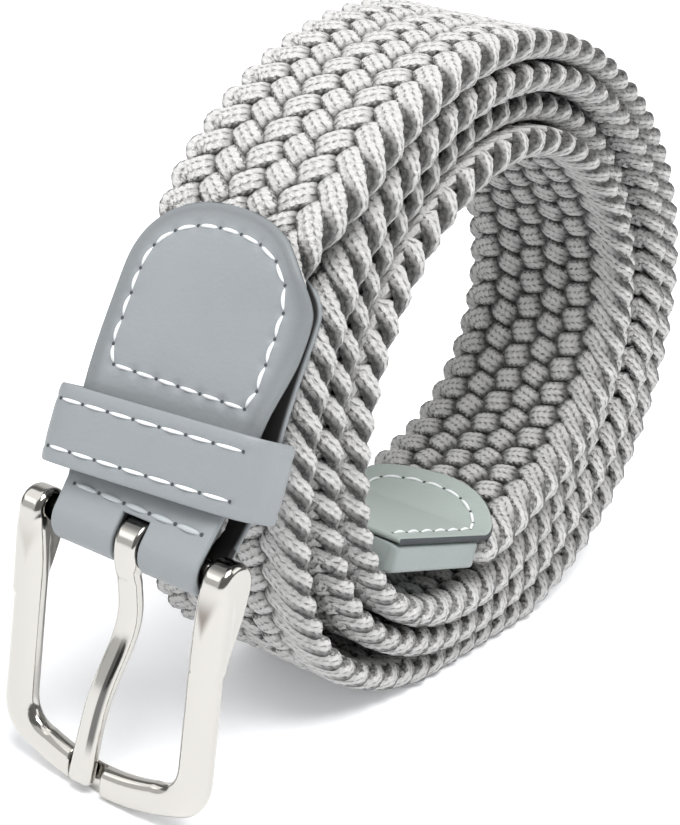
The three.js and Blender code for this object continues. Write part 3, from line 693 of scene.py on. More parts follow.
def braid_piece(name, start, end, ring_step):
    """All seven strands between two lengths of the strap, as one mesh."""
    section = strand_section(STRAND["points"])
    tubes, places = [], []
    for strand in range(STRANDS):
        first, last = ((at / PITCH - strand) * 2 for at in (start, end))
        step = np.linspace(first, last, int((last - first) * STEP_LENGTH / ring_step) + 1)
        path = strand_path(step)
        length = (step + 2 * strand + path["steeper"]) * ADVANCE
        inner = smoothstep(length, HOOK["outer"], HOOK["inner"])
        length = length - hook(path["at_near"]) * (1 - inner) + hook(-path["at_near"]) * inner
        tubes.append(strand_tube(path, length, section))
        places.append(strand_place(path, step, length, section[0]))
    return finish_piece(tube_mesh(name, tubes, np.concatenate(places)), BRAID)


def build_braid():
    """The braid in stretches, finer where both faces and edges show."""
    fine, coarse = detail(STEPS["braid"]), detail(STEPS["hidden_braid"])
    limits = [BRAID_START, 200, 400, 700, 960, 1130, STRAP_LENGTH]
    ring_steps = [fine, fine, coarse, coarse, fine, fine]
    for index, ring_step in enumerate(ring_steps):
        braid_piece(f"braid_stretch_{index + 1}", limits[index], limits[index + 1], ring_step)
    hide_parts("braided_band")


# Stitches and needle holes

STITCH = {"rings": 7, "points": 8, "end": 0.35, "flat": 0.85, "inset": 0.08, "sunk": 0.1}
BUTTON = {"points": 10, "shares": (1.0, 0.92, 0.6, 0.05), "height": 0.12, "tilted": (0.3, 0.2, 0.93)}
# Of each seam: how deep its holes lie, its thread's radius and how far a stitch rises at its middle
THREADS = {
    "tab": {"sunk": 0.32, "radius": 0.31, "lift": 0.5},
    "fold": {"sunk": 0.05, "radius": 0.46, "lift": 0.25},
    "keeper": {"sunk": 0.1, "radius": 0.3, "lift": 0.3},
    "tip": {"sunk": 0.15, "radius": 0.29, "lift": 0.35},
}


def stitch_tube(first, last, lift, radius):
    """A short rounded thread between two places, lifted at its middle."""
    turn = ring_turns(STITCH["points"])[None, :, None]
    share = np.linspace(0, 1, STITCH["rings"])[:, None]
    centre = first + (last - first) * share + lift * np.sin(math.pi * share)
    normal = unit(lift)
    side = np.cross(unit(last - first), normal)
    thick = radius * (STITCH["end"] + (1 - STITCH["end"]) * np.sin(math.pi * share) ** 0.5)
    ring = np.cos(turn) * side + STITCH["flat"] * np.sin(turn) * normal
    return centre[:, None, :] + thick[:, :, None] * ring


def hole_tube(centre, normal, radius):
    """A dark shallow button in a needle hole: painted shade for the hole's inside."""
    turn = (2 * math.pi * np.arange(BUTTON["points"]) / BUTTON["points"])[:, None]
    side = unit(np.cross(normal, BUTTON["tilted"]))
    disc = np.cos(turn) * side + np.sin(turn) * np.cross(normal, side)
    rings = [centre + disc * radius * s + normal * BUTTON["height"] * (1 - s**2) for s in BUTTON["shares"]]
    return np.stack(rings)


def stitch_row(name, spots, closed, thread, material=THREAD):
    """Needle holes at the given places with normals, and a stitch between each two of them."""
    following = spots[1:] + spots[:1] if closed else spots[1:]
    stitches = []
    for (first, normal), (last, _) in zip(spots, following):
        inset = (last - first) * STITCH["inset"]
        sunk = normal * STITCH["sunk"]
        ends = first + inset - sunk, last - inset - sunk
        stitches.append(stitch_tube(*ends, normal * thread["lift"], thread["radius"]))
    holes = [hole_tube(centre, normal, thread["radius"]) for centre, normal in spots]
    finish_piece(tube_mesh(f"{name}_holes", holes), DARK_EDGE_AND_HOLE_SHADE)
    return finish_piece(tube_mesh(name, stitches), material)


def evenly(points, count, closed):
    """Places at even distances along a line of points."""
    points = np.asarray(points, float)
    if closed:
        points = np.concatenate([points, points[:1]])
    lengths = np.concatenate([[0], np.cumsum(np.linalg.norm(np.diff(points, axis=0), axis=1))])
    wanted = np.linspace(0, lengths[-1], count, endpoint=not closed)
    return np.stack([np.interp(wanted, lengths, points[:, i]) for i in range(points.shape[1])], axis=-1)


# Leaves of leather with rounded edges

EDGE_ROUND = 0.6
APEX = {"reach": 0.35, "rows": 18}
# Points along each outline, and how far a leaf's last row counts as from its edge
FINE = {"leaf": 700, "tip": 800, "tip_seam": 400, "raw_edge": 160}
END_GAP = {"leaf": 0.02, "tip": 0.1}


def nearest(points, outline):
    """Distance of each point to the nearest of the outline's points."""
    flat = points.reshape(-1, 2)
    distance = np.full(len(flat), np.inf)
    for part in np.array_split(outline, 8):
        gap = np.linalg.norm(flat[:, None, :] - part[None, :, :], axis=2)
        distance = np.minimum(distance, gap.min(axis=1))
    return distance.reshape(points.shape[:-1])


def both_sides(lengths, far, near):
    """Points along both edges of a leaf: length and across."""
    return np.concatenate([np.stack([lengths, side], axis=1) for side in (far, near)])


def rounded_edge(distance):
    left = 1 - np.clip(distance / EDGE_ROUND, 0.03, 1)
    return np.sqrt(1 - left**2)


def edge_shares(close, width, step):
    """Shares from edge to edge of a leaf, close together at both edges."""
    close = np.array(close) / width
    inner = np.linspace(close[-1], 1 - close[-1], int(width / step))[1:-1]
    return np.concatenate([close, inner, 1 - close[::-1]])


def dent(distance, width):
    return np.exp(-((distance / width) ** 2))


# The leather fold: the round tab in front, the turn about the bar and the leaf behind

RIM = {
    "at": 1.5, "width": 0.35, "depth": 0.14, "from": (20, 24),
    "shade": 0.75, "fades": 3.5, "shaded": (18, 24),
}
DENT = {"depth": 0.4, "width": 0.75}
SEAM = {"inset": 3.2, "from": 25.2, "count": 23, "near": 0.6, "end": 0.6}
FOLD_SEAM = {"at": 4.3, "far": -12.2, "near": 14.0, "count": 6}
CLOSE = [0, 0.08, 0.22, 0.42, 0.7, 1.0, 1.25, 1.5, 1.75, 2.1]
LEAF_WIDENS = (LEAF_START - 1, BRAID_START + 4)
INNER_FACE = (0.05, 0.4)
SLOT_CLEAR = 0.004
TURN_ROWS = 28
BRIDGE_ROWS = 12


def oval_share(before_end, round_length, power):
    share = 1 - np.clip(before_end / round_length, 0, 1)
    return (1 - share**power) ** (1 / power)


def bend_share(length):
    risen = smoothstep(length, BENT_EDGE["starts"], BENT_EDGE["full"])
    return risen * (1 - smoothstep(length, BENT_EDGE["fades"], BENT_EDGE["ends"]))


def leaf_edges(leaf, length):
    bend = bend_share(length) * (leaf is FRONT_LEAF)
    middle = (leaf["far"] + leaf["near"]) / 2
    before_end = leaf["end"] - length
    far = middle + (leaf["far"] - middle) * oval_share(before_end, leaf["far_round"], LEAF_POWER)
    near = leaf["near"] + BENT_EDGE["wider"] * bend - middle
    near = middle + near * oval_share(before_end, leaf["near_round"], LEAF_POWER)
    widened = smoothstep(length, *LEAF_WIDENS)
    return FOLD["far"] + (far - FOLD["far"]) * widened, FOLD["near"] + (near - FOLD["near"]) * widened


def edge_drop(across, bend):
    full = FRONT_LEAF["near"] + BENT_EDGE["wider"]
    return BENT_EDGE["drop"] * bend * smoothstep(across, BENT_EDGE["from"], full)


def tab_point(length, across, thread):
    """A thread's hole in the tab's outer face, and the direction away from it."""
    out = LEAF_OFFSET + LEATHER_THICK / 2 - thread["sunk"] - edge_drop(across, bend_share(length))
    return on_strap(length, across, out), strap_vector("out", length)


def column_shares(step):
    """Shares from edge to edge of the fold, with lines at the sides of the prong's slot."""
    width = FOLD["near"] - FOLD["far"]
    shares = edge_shares(CLOSE, width, step)
    half = PRONG["width"] / 2 + PRONG_SLOT["side"]
    slot = (PRONG["top"] + np.array([-half, half]) - FOLD["far"]) / width
    clear = np.abs(shares[:, None] - slot).min(axis=1) > SLOT_CLEAR
    return np.sort(np.concatenate([shares[clear], slot]))


def leaf_lengths(leaf, step):
    reach = max(leaf["far_round"], leaf["near_round"]) * APEX["reach"]
    apex = leaf["end"] - reach * np.linspace(0, 1, APEX["rows"]) ** 2
    rest = np.arange(apex[-1] - step, LEAF_START, -step)
    return np.concatenate([apex, rest, [LEAF_START]])


def leaf_grids(leaf, side, shares, step):
    """Outer and inner points of one leaf from its end to the bar, its rim's share, and the share of painted
    shade on its inner face.
    """
    lengths = leaf_lengths(leaf, step)
    far, near = leaf_edges(leaf, lengths)
    length, shares = np.broadcast_arrays(lengths[:, None], shares)
    across = far[:, None] + (near - far)[:, None] * shares
    spot = np.stack([length, across], axis=-1)
    fine = np.linspace(0, leaf["end"], FINE["leaf"])
    distance = nearest(spot, both_sides(fine, *leaf_edges(leaf, fine)))
    distance = np.minimum(distance, (leaf["end"] - length) + END_GAP["leaf"])
    half = LEATHER_THICK / 2 * rounded_edge(distance)
    relief = np.zeros_like(half)
    drop = np.zeros_like(half)
    if leaf is FRONT_LEAF:
        drop = edge_drop(across, bend_share(length))
        relief = -DENT["depth"] * dent(nearest(spot, tab_seam()), DENT["width"])
        relief -= RIM["depth"] * dent(distance - RIM["at"], RIM["width"]) * smoothstep(length, *RIM["from"])
    outer = on_strap(length, across, side * (LEAF_OFFSET + half + relief) - drop)
    inner = on_strap(length, across, side * (LEAF_OFFSET - half) - drop)
    rim = RIM["shade"] * (1 - smoothstep(distance, RIM["at"], RIM["fades"]))
    return outer, inner, rim * smoothstep(length, *RIM["shaded"]), smoothstep(distance, *INNER_FACE)


def tab_seam():
    """The needle holes of the tab: length and across, on a closed line inside its edge."""
    ends = np.linspace(0, math.pi, 80)
    middle = (FRONT_LEAF["far"] + FRONT_LEAF["near"]) / 2
    far = FRONT_LEAF["far"] + SEAM["inset"]
    near = FRONT_LEAF["near"] - SEAM["inset"] + SEAM["near"]
    top = FRONT_LEAF["end"] - SEAM["inset"] - SEAM["end"]
    start = FRONT_LEAF["end"] - FRONT_LEAF["far_round"]
    power = 2 / LEAF_POWER
    sideways = np.sign(np.cos(ends)) * np.abs(np.cos(ends)) ** power
    across = middle + np.where(sideways > 0, near - middle, middle - far) * sideways
    curve = np.stack([start + (top - start) * np.sin(ends) ** power, across], axis=1)
    corners = np.array([[SEAM["from"], far], [SEAM["from"], near]])
    return evenly(np.concatenate([curve, corners]), SEAM["count"], True)


def around_bar(shares):
    """Outer and inner points of the leather's half turn about the bar."""
    across = FOLD["far"] + (FOLD["near"] - FOLD["far"]) * shares
    half = LEATHER_THICK / 2 * rounded_edge(np.minimum(across - FOLD["far"], FOLD["near"] - across))
    turns = np.linspace(0, math.pi, TURN_ROWS)[:, None, None]
    out = BAR_OUT * np.cos(turns) - BAR_ALONG * np.sin(turns)
    base = BAR_ORIGIN + X_AXIS * across[None, :, None]
    return [base + out * (LEAF_OFFSET + sign * half)[None, :, None] for sign in (1, -1)]


def bridge(first, last):
    """Rows of points between two rows, without either of them."""
    return first + (last - first) * np.linspace(0, 1, BRIDGE_ROWS)[1:-1, None, None]


def slot_cells(middle):
    """Which cells of the fold are open, round the prong."""
    centres = (middle[:-1, :-1] + middle[1:, 1:]) / 2
    high = BAR_ORIGIN[2] + PRONG_SLOT["middle"] + PRONG_SLOT["height"] / 2
    half = PRONG["width"] / 2 + PRONG_SLOT["side"]
    return (centres[..., 2] < high) & (np.abs(centres[..., 0] - BAR_ORIGIN[0] - PRONG["top"]) < half)


def build_fold():
    step = detail(STEPS["fold"])
    shares = column_shares(step)
    front = leaf_grids(FRONT_LEAF, 1, shares, step)
    back = leaf_grids(BACK_LEAF, -1, shares, step * 1.6)
    around = around_bar(shares)
    grids = []
    for first, turn, last in zip(front[:2], around, back[:2]):
        to_bar, from_bar = bridge(first[-1:], turn[:1]), bridge(turn[-1:], last[-1:])
        grids.append(np.concatenate([first, to_bar, turn, from_bar, last[::-1]]))
    rows, columns = grids[0].shape[:2]
    place = np.zeros((2, rows, columns, 3))
    place[0, : len(front[2]), :, 0] = front[2]
    # Painted shade on the faces towards the braid: all of the inner grid, fading out near the back leaf's
    # edges
    place[1, :, :, 1] = 1
    place[1, -len(back[3]) :, :, 1] = back[3][::-1]
    quads = sheet_quads(rows, columns, slot_cells((grids[0] + grids[1]) / 2))
    fold = make_mesh("fold_leather", np.stack(grids), quads, place)
    finish_piece(fold, LEATHER, replaces=("leather_fold",))
    tab_spots = [tab_point(length, across, THREADS["tab"]) for length, across in tab_seam()]
    stitch_row("tab_stitches", tab_spots, True, THREADS["tab"])
    # A sunken row of stitches between the keeper and the bar, its thread painted darker for the shade it lies
    # in
    places = np.linspace(FOLD_SEAM["far"], FOLD_SEAM["near"], FOLD_SEAM["count"])
    fold_spots = [tab_point(FOLD_SEAM["at"], across, THREADS["fold"]) for across in places]
    stitch_row("fold_stitches", fold_spots, False, THREADS["fold"], SHADED_THREAD)


# The keeper: a loop of leather with two rows of stitches

KEEPER_SEAM = {"inset": 2.5, "count": 8, "reach": 17.6, "dent": 0.16, "width": 0.5}
KEEPER_SECTION = {"points": 48, "power": 5.0, "around": (90, 180)}


def superellipse(turn, half_width, half_depth, power):
    c, s = np.cos(turn), np.sin(turn)
    x = half_width * np.sign(c) * np.abs(c) ** (2 / power)
    y = half_depth * np.sign(s) * np.abs(s) ** (2 / power)
    return x, y


def keeper_frame():
    at, half = KEEPER["at"], KEEPER["height"] / 2
    low, high, middle = (strap_vector("middle", at + shift) for shift in (-half, half, 0))
    origin = ((low + high) / 2 + middle) / 2
    along = unit(high - low)
    across = strap_vector("across", at)
    out = unit(np.cross(across, along))
    tilt = math.radians(KEEPER["turn"])
    across = across * math.cos(tilt) + along * math.sin(tilt)
    side = np.sign(np.dot(out, strap_vector("out", at)))
    up = unit(np.cross(out, across)) * side
    return origin, across, np.cross(up, across), up


def keeper_path(count, inset):
    """Even places along the loop's outline, and the directions away from it."""
    turn = np.linspace(0, 2 * math.pi, 1441)[:-1]
    half_width, half_depth = KEEPER["half_width"] - inset, KEEPER["half_depth"] - inset
    path = evenly(np.stack(superellipse(turn, half_width, half_depth, KEEPER["power"]), axis=1), count, True)
    ahead = np.roll(path, -1, axis=0) - np.roll(path, 1, axis=0)
    return path, unit(np.stack([ahead[:, 1], -ahead[:, 0]], axis=1))


def build_keeper():
    origin, across, front, up = keeper_frame()
    origin = origin + KEEPER["shift"] * across
    count = detail(KEEPER_SECTION["around"])
    wall, half_height = KEEPER["wall"], KEEPER["height"] / 2
    seam_height = half_height - KEEPER_SEAM["inset"]
    path, normal = keeper_path(count, wall / 2)
    size = KEEPER_SECTION["points"]
    section_out, section_up = superellipse(ring_turns(size), wall / 2, half_height, KEEPER_SECTION["power"])
    pressed = KEEPER_SEAM["dent"] * dent(np.abs(section_up) - seam_height, KEEPER_SEAM["width"])
    section_out = section_out - np.where(section_out > 0, pressed, 0)
    flat = path[:, None, :] + normal[:, None, :] * section_out[None, :, None]
    points = origin + flat[..., :1] * across + flat[..., 1:] * front + section_up[:, None] * up
    loop = make_mesh("keeper_leather", points, ring_quads(count, size, closed=True)[:, ::-1])
    finish_piece(loop, LEATHER, replaces=("keeper_loop",))
    outward = front * np.sign(np.dot(front, strap_vector("out", KEEPER["at"])))
    for name, level in (("upper", 1), ("lower", -1)):
        spots = []
        for place in np.linspace(-KEEPER_SEAM["reach"], KEEPER_SEAM["reach"], KEEPER_SEAM["count"]):
            share = np.abs(place / KEEPER["half_width"])
            depth = KEEPER["half_depth"] * (1 - share ** KEEPER["power"]) ** (1 / KEEPER["power"])
            point = origin + place * across + (depth - THREADS["keeper"]["sunk"]) * outward
            spots.append((point + level * seam_height * up, outward))
        stitch_row(f"keeper_{name}_stitches", spots, False, THREADS["keeper"])


# The tip: a block of leather over the braid's end, and a thin leaf with a round end on top

TIP_SLOPE = math.radians(TIP["angle"])
TIP_ORIGIN = COIL_CENTRE + np.array([SIDEWAYS[-1]["shift"], 0, TIP["start_z"]])
TIP_ALONG = np.array([0, -math.cos(TIP_SLOPE), math.sin(TIP_SLOPE)])
TIP_OUT = np.array([0, math.sin(TIP_SLOPE), math.cos(TIP_SLOPE)])
TIP_SEAM = {"inset": 3.0, "before_end": 2, "count": 22, "dent": 0.25, "width": 0.7}
TIP_CLOSE = [0, 0.08, 0.22, 0.42, 0.7, 1.0, 1.4]
TIP_APEX = {"reach": 6, "rows": 22}
RAW_EDGE = {"proud": 0.04, "thick": 0.05, "below": 0.25, "above": 0.28}
BLOCK = {"points": 48, "power": 9.0, "rings": 12, "straight": (0.6, 1), "room": 2}
# The share of the block's full section at each distance from its end, and from its start
BLOCK_END = [(0.9, 0), (0.97, 0.15), (1.0, 0.6)]
BLOCK_START = [(0.985, 0.15), (0.96, 0.0)]


def tip_leaf_frame(distance):
    """The middle of the leaf at a distance from the block's start, and the direction away from it."""
    distance = np.asarray(distance, float)
    over_block = TIP["thick"] / 2 + GAP + TIP["leaf"] / 2
    on_block = TIP_ORIGIN + TIP_ALONG * distance[..., None] + TIP_OUT * over_block
    length = STRAP_LENGTH - PRESSED["length"] + np.minimum(0, distance)
    on_braid = on_strap(length, 0, -(BRAID_THICK / 2 + LEAF_GAP + TIP["leaf"] / 2))
    block = smoothstep(distance, -PRESSED["fade"], 0.5)[..., None]
    out = unit(TIP_OUT * block - strap_vector("out", length) * (1 - block))
    return on_braid + (on_block - on_braid) * block, out


def tip_leaf_edges(distance):
    before_end, power = distance + LEAF_END["over"], LEAF_END["power"]
    middle, half = LEAF_END["middle"], TIP["half_width"]
    near = middle + (half - middle) * oval_share(before_end, LEAF_END["near_round"], power)
    far = middle - (half + middle) * oval_share(before_end, LEAF_END["far_round"], power)
    return far, near


def tip_leaf_point(distance, across, lift):
    origin, out = tip_leaf_frame(distance)
    return origin + X_AXIS * np.asarray(across)[..., None] + out * np.asarray(lift)[..., None]


def tip_seam():
    """The tip's needle holes: along the near side, round the end and back along the far side."""
    fine = np.linspace(-LEAF_END["over"], TIP["length"], FINE["tip_seam"])
    far, near = tip_leaf_edges(fine)
    scale = 1 - TIP_SEAM["inset"] / TIP["half_width"]
    shifted = fine + TIP_SEAM["inset"]
    near_line = np.stack([shifted, near * scale], axis=1)[::-1]
    line = np.concatenate([near_line, np.stack([shifted, far * scale], axis=1)])
    return evenly(line[line[:, 0] < TIP["length"] - TIP_SEAM["before_end"]], TIP_SEAM["count"], False)


def build_tip_leaf():
    step = detail(STEPS["tip"])
    over, end, half = LEAF_END["over"], TIP["length"], TIP["leaf"] / 2
    apex = -over + TIP_APEX["reach"] * np.linspace(0, 1, TIP_APEX["rows"]) ** 2
    distances = np.concatenate([apex, np.arange(apex[-1] + step, end, step), [end]])
    far, near = tip_leaf_edges(distances)
    shares = edge_shares(TIP_CLOSE, 2 * TIP["half_width"], step)
    distance, shares = np.broadcast_arrays(distances[:, None], shares)
    across = far[:, None] + (near - far)[:, None] * shares
    spot = np.stack([distance, across], axis=-1)
    fine = np.linspace(-over, end, FINE["tip"])
    gap = nearest(spot, both_sides(fine, *tip_leaf_edges(fine)))
    gap = np.minimum(gap, end - distance + END_GAP["tip"])
    seam = tip_seam()
    dents = TIP_SEAM["dent"] * dent(nearest(spot, seam), TIP_SEAM["width"])
    outer = tip_leaf_point(distance, across, half * (0.3 + 0.7 * rounded_edge(gap)) - dents)
    inner = tip_leaf_point(distance, across, np.full_like(across, -half))
    leaf = make_mesh("tip_leaf_leather", np.stack([outer, inner]), sheet_quads(*distance.shape))
    finish_piece(leaf, TIP_LEATHER_LIT, replaces=("tip_leaf",))
    spots = []
    for place, sideways in seam:
        point = tip_leaf_point(place, sideways, half - THREADS["tip"]["sunk"])
        spots.append((point, tip_leaf_frame(place)[1]))
    stitch_row("tip_stitches", spots, False, THREADS["tip"])
    build_raw_edge()


def build_raw_edge():
    """The leaf's dark raw edge, a hair outside its sides; below the leaf it reaches into the gap over the
    block as painted shade.
    """
    fine = np.linspace(-LEAF_END["over"], TIP["length"], FINE["raw_edge"])
    far, near = tip_leaf_edges(fine)
    along = np.concatenate([fine[::-1], fine])[:, None]
    across = np.concatenate([near[::-1] + RAW_EDGE["proud"], far - RAW_EDGE["proud"]])[:, None]
    levels = np.array([-TIP["leaf"] / 2 - RAW_EDGE["below"], TIP["leaf"] * RAW_EDGE["above"]])
    inside = across - RAW_EDGE["thick"] * np.sign(across)
    grids = [tip_leaf_point(along, side, levels) for side in (across, inside)]
    edge = make_mesh("tip_raw_edge", np.stack(grids), sheet_quads(len(along), 2))
    return finish_piece(edge, DARK_EDGE_AND_HOLE_SHADE)


def build_tip_block():
    turn = ring_turns(BLOCK["points"])
    outer = superellipse(turn, TIP["half_width"], TIP["thick"] / 2, BLOCK["power"])
    pocket = (PRESSED["half_width"] + GAP, PRESSED["thick"] / 2 + GAP)
    pocket = superellipse(turn, *pocket, BLOCK["power"])
    first, before_last = BLOCK["straight"]
    straight = np.linspace(TIP["length"] - before_last, first, BLOCK["rings"])
    rings = [(outer, share, TIP["length"] - before) for share, before in BLOCK_END]
    rings += [(outer, 1.0, place) for place in straight]
    rings += [(outer, share, place) for share, place in BLOCK_START]
    rings += [(pocket, 1.0, 0.0), (pocket, 1.0, PRESSED["length"] + BLOCK["room"])]
    points = []
    for (x, z), share, place in rings:
        section = X_AXIS * x[:, None] + TIP_OUT * z[:, None]
        points.append(TIP_ORIGIN + TIP_ALONG * place + section * share)
    block = tube_mesh("tip_block_leather", [np.stack(points)])
    return finish_piece(block, BLOCK_LEATHER_SHADED, replaces=("leather_tip",))


# The buckle: smooth metal forms, each the zero surface of a field in the buckle's own axes

BUCKLE_LEAN = math.radians(FRAME["lean"])
BUCKLE_UP = np.array([0, math.sin(BUCKLE_LEAN), math.cos(BUCKLE_LEAN)])
BUCKLE_FRONT = np.array([0, -math.cos(BUCKLE_LEAN), math.sin(BUCKLE_LEAN)])
CROWN = {"power": 2.5, "half": 2.9, "lug_blend": 0.8}
PRONG_ROUND = {"shank": 1.2, "ring": 0.7, "blend": 0.5, "fade": 2}
OUTLINE = {"corner_flat": 0.75, "bowed": 0.8, "open_to": 8.0}
# Where the tables of distances reach, and between which corners the two surfaces are looked for
FRAME_PLAN = ((-24, 24), (-50, 6))
LUG_PLAN = ((-7, 7), (-20, 6))
FRAME_BOX = ((-23, -48.5, -4.6), (22.2, 3.8, 4.6))
PRONG_BOX = ((-6.8, -43.2, -4.8), (4.6, 4.8, 5.4))
SETTLE = {"times": 3, "reach": 0.02, "least_slope": 0.2, "longest": 0.15}


def quadratic(points, control, end, steps=10):
    start = np.array(points[-1])
    share = np.linspace(0, 1, steps + 1)[1:, None]
    curve = start * (1 - share) ** 2 + 2 * np.array(control) * share * (1 - share) + np.array(end) * share**2
    points.extend(map(tuple, curve))


def mirrored(half, bottom):
    """A closed outline from its left half, with a curve from half to half along the bottom."""
    other = [(-x, y) for x, y in reversed(half)]
    points = list(half)
    quadratic(points, bottom, other[0], 24)
    return np.array(points + other[1:])


def frame_outline():
    wide, top, low = FRAME["half_width"], FRAME["top"], FRAME["bottom"]
    side = low - FRAME["bow"]
    straight = wide - FRAME["corner"] * OUTLINE["corner_flat"]
    corner = -side + FRAME["corner"]
    points = [(-wide + FRAME["top_round"], -top)]
    quadratic(points, (-wide, -top), (-wide, -top - FRAME["top_round"]))
    points += [(-wide + FRAME["waist"], -FRAME["waist_at"]), (-wide, corner)]
    quadratic(points, (-wide, corner - FRAME["corner_drop"]), (-straight, -side), 16)
    return mirrored(points, (0, -low - FRAME["bow"]))


def frame_window():
    inner = FRAME["half_width"] - FRAME["leg_width"]
    low = -(FRAME["bottom"] - FRAME["bar_height"])
    corner = low + FRAME["inner_bow"]
    flat = inner - FRAME["inner_corner"]
    bowed = FRAME["inner_bow"] * OUTLINE["bowed"]
    waist_at = FRAME["waist_at"]
    points = [(-LUG["inner"], OUTLINE["open_to"]), (-LUG["inner"], -BAR["radius"])]
    quadratic(points, (-inner, -waist_at / 2), (-inner, -waist_at))
    points.append((-inner, corner + FRAME["inner_corner"]))
    quadratic(points, (-inner, corner), (-flat, low + bowed))
    return mirrored(points, (0, low - bowed))


def lug_side():
    face, back, drop = FRAME["front"] - LUG["sunk"], LUG["back"], LUG["drop"]
    leg_back = FRAME["front"] - FRAME["thick"]
    turn = np.linspace(0, math.pi, 40)
    radius = (face + back) / 2
    points = [(face, -LUG["fade"])]
    points += list(zip((face - back) / 2 + radius * np.cos(turn), -drop + radius * np.sin(turn)))
    quadratic(points, (-back, -back - drop), (leg_back, -LUG["fade"] + 1), 16)
    points.append((leg_back, -LUG["fade"]))
    return np.array(points)


def polygon_distance(polygon, x, y):
    """Distance to a closed outline, positive inside it."""
    best = np.full(x.shape, np.inf)
    inside = np.zeros(x.shape, bool)
    for (x1, y1), (x2, y2) in zip(polygon, np.roll(polygon, -1, axis=0)):
        dx, dy = x2 - x1, y2 - y1
        share = np.clip(((x - x1) * dx + (y - y1) * dy) / max(dx * dx + dy * dy, 1e-9), 0, 1)
        best = np.minimum(best, np.hypot(x - x1 - share * dx, y - y1 - share * dy))
        if y1 != y2:
            inside ^= ((y1 > y) != (y2 > y)) & (x < (y - y1) * dx / dy + x1)
    return np.where(inside, best, -best)


def make_plan(distance_of, x_range, y_range, step=0.2):
    """A table of a distance over a plane, and a function that reads between its points."""
    xs = np.arange(*x_range, step)
    ys = np.arange(*y_range, step)
    table = distance_of(*np.meshgrid(xs, ys, indexing="ij"))

    def read(x, y):
        fx = np.clip((x - xs[0]) / step, 0, len(xs) - 1.001)
        fy = np.clip((y - ys[0]) / step, 0, len(ys) - 1.001)
        i, j = fx.astype(int), fy.astype(int)
        a, b = fx - i, fy - j
        low = table[i, j] * (1 - b) + table[i, j + 1] * b
        high = table[i + 1, j] * (1 - b) + table[i + 1, j + 1] * b
        return low * (1 - a) + high * a

    return read


def smooth_union(first, second, blend):
    share = np.clip(0.5 + 0.5 * (second - first) / blend, 0, 1)
    return second * (1 - share) + first * share - blend * share * (1 - share)


def rounded_box(gaps, radius):
    """A field of a form bounded by several gaps, each negative inside, with rounded edges."""
    gaps = np.stack(np.broadcast_arrays(*gaps)) + radius
    return np.linalg.norm(np.maximum(gaps, 0), axis=0) + np.minimum(gaps.max(axis=0), 0) - radius


def frame_field():
    outline, window, side = frame_outline(), frame_window(), lug_side()

    def plan(x, y):
        return np.minimum(polygon_distance(outline, x, y), -polygon_distance(window, x, y))

    inside = make_plan(plan, *FRAME_PLAN)
    lug_inside = make_plan(lambda x, y: polygon_distance(side, x, y), *LUG_PLAN)
    half = FRAME["thick"] / 2
    lug_half = (FRAME["half_width"] - LUG["inner"] - LUG["side"]) / 2
    notch_floor = FRAME["front"] - (PRONG["thick"] + GAP - PRONG["proud"])
    notch_top = TIP_NOTCH["middle"] + TIP_NOTCH["height"] / 2 - FRAME["bottom"]

    def field(x, up, front):
        own = x - FRAME["shift"]
        share = np.maximum(1 - inside(own, up) / CROWN["half"], 0)
        depth = np.abs(front - FRAME["front"] + half) / half
        plate = ((share ** CROWN["power"] + depth ** CROWN["power"]) ** (1 / CROWN["power"]) - 1) * half
        sideways = np.abs(np.abs(own) - LUG["inner"] - lug_half) - lug_half
        lugs = rounded_box([-lug_inside(front, up), sideways], LUG["edge"])
        solid = smooth_union(plate, lugs, CROWN["lug_blend"])
        bore = np.maximum(np.hypot(up, front) - BAR["radius"] - GAP, np.abs(x) - BAR["half_length"] - GAP)
        notch_x = np.abs(x - PRONG["foot"] - TIP_NOTCH["shift"]) - PRONG["tip_width"] / 2 - TIP_NOTCH["side"]
        notch = np.maximum(np.maximum(notch_x, notch_floor - front), up - notch_top)
        return np.maximum(np.maximum(solid, -bore), -notch)

    return field


def prong_line(down):
    share = down / PRONG["tip"]
    across = PRONG["top"] + (PRONG["foot"] - PRONG["top"]) * share
    start = PRONG["ring"] - PRONG["thick"] / 2
    rest = FRAME["front"] - PRONG["thick"] / 2 + PRONG["proud"]
    line = start + (rest - start) * smoothstep(share, 0, 1)
    hollow = PRONG["hollow"] * dent(down - PRONG["hollow_at"], PRONG["hollow_reach"])
    return across, line - hollow * smoothstep(down, 0, PRONG["ring"] + PRONG_ROUND["fade"])


def prong_field(x, up, front):
    down = -up
    across, line = prong_line(down)
    reach = 0.1
    before, after = prong_line(down - reach)[1], prong_line(down + reach)[1]
    tilt = 1 / np.hypot(1, (after - before) / (2 * reach))
    full = PRONG["tip"] - PRONG_ROUND["fade"]
    widened = smoothstep(down, PRONG["tip"] - PRONG["tip_length"], full)
    half = (PRONG["width"] + (PRONG["tip_width"] - PRONG["width"]) * widened) / 2
    ends = np.maximum(down - PRONG["tip"], -down)
    sides = [np.abs(x - across) - half, np.abs(front - line) * tilt - PRONG["thick"] / 2, ends]
    shank = rounded_box(sides, PRONG_ROUND["shank"])
    radial = np.hypot(up, front)
    bore = BAR["radius"] + GAP
    wall = (PRONG["ring"] - bore) / 2
    sides = [np.abs(radial - bore - wall) - wall, np.abs(x - PRONG["top"]) - PRONG["width"] / 2]
    ring = rounded_box(sides, PRONG_ROUND["ring"])
    return np.maximum(smooth_union(shank, ring, PRONG_ROUND["blend"]), bore - radial)


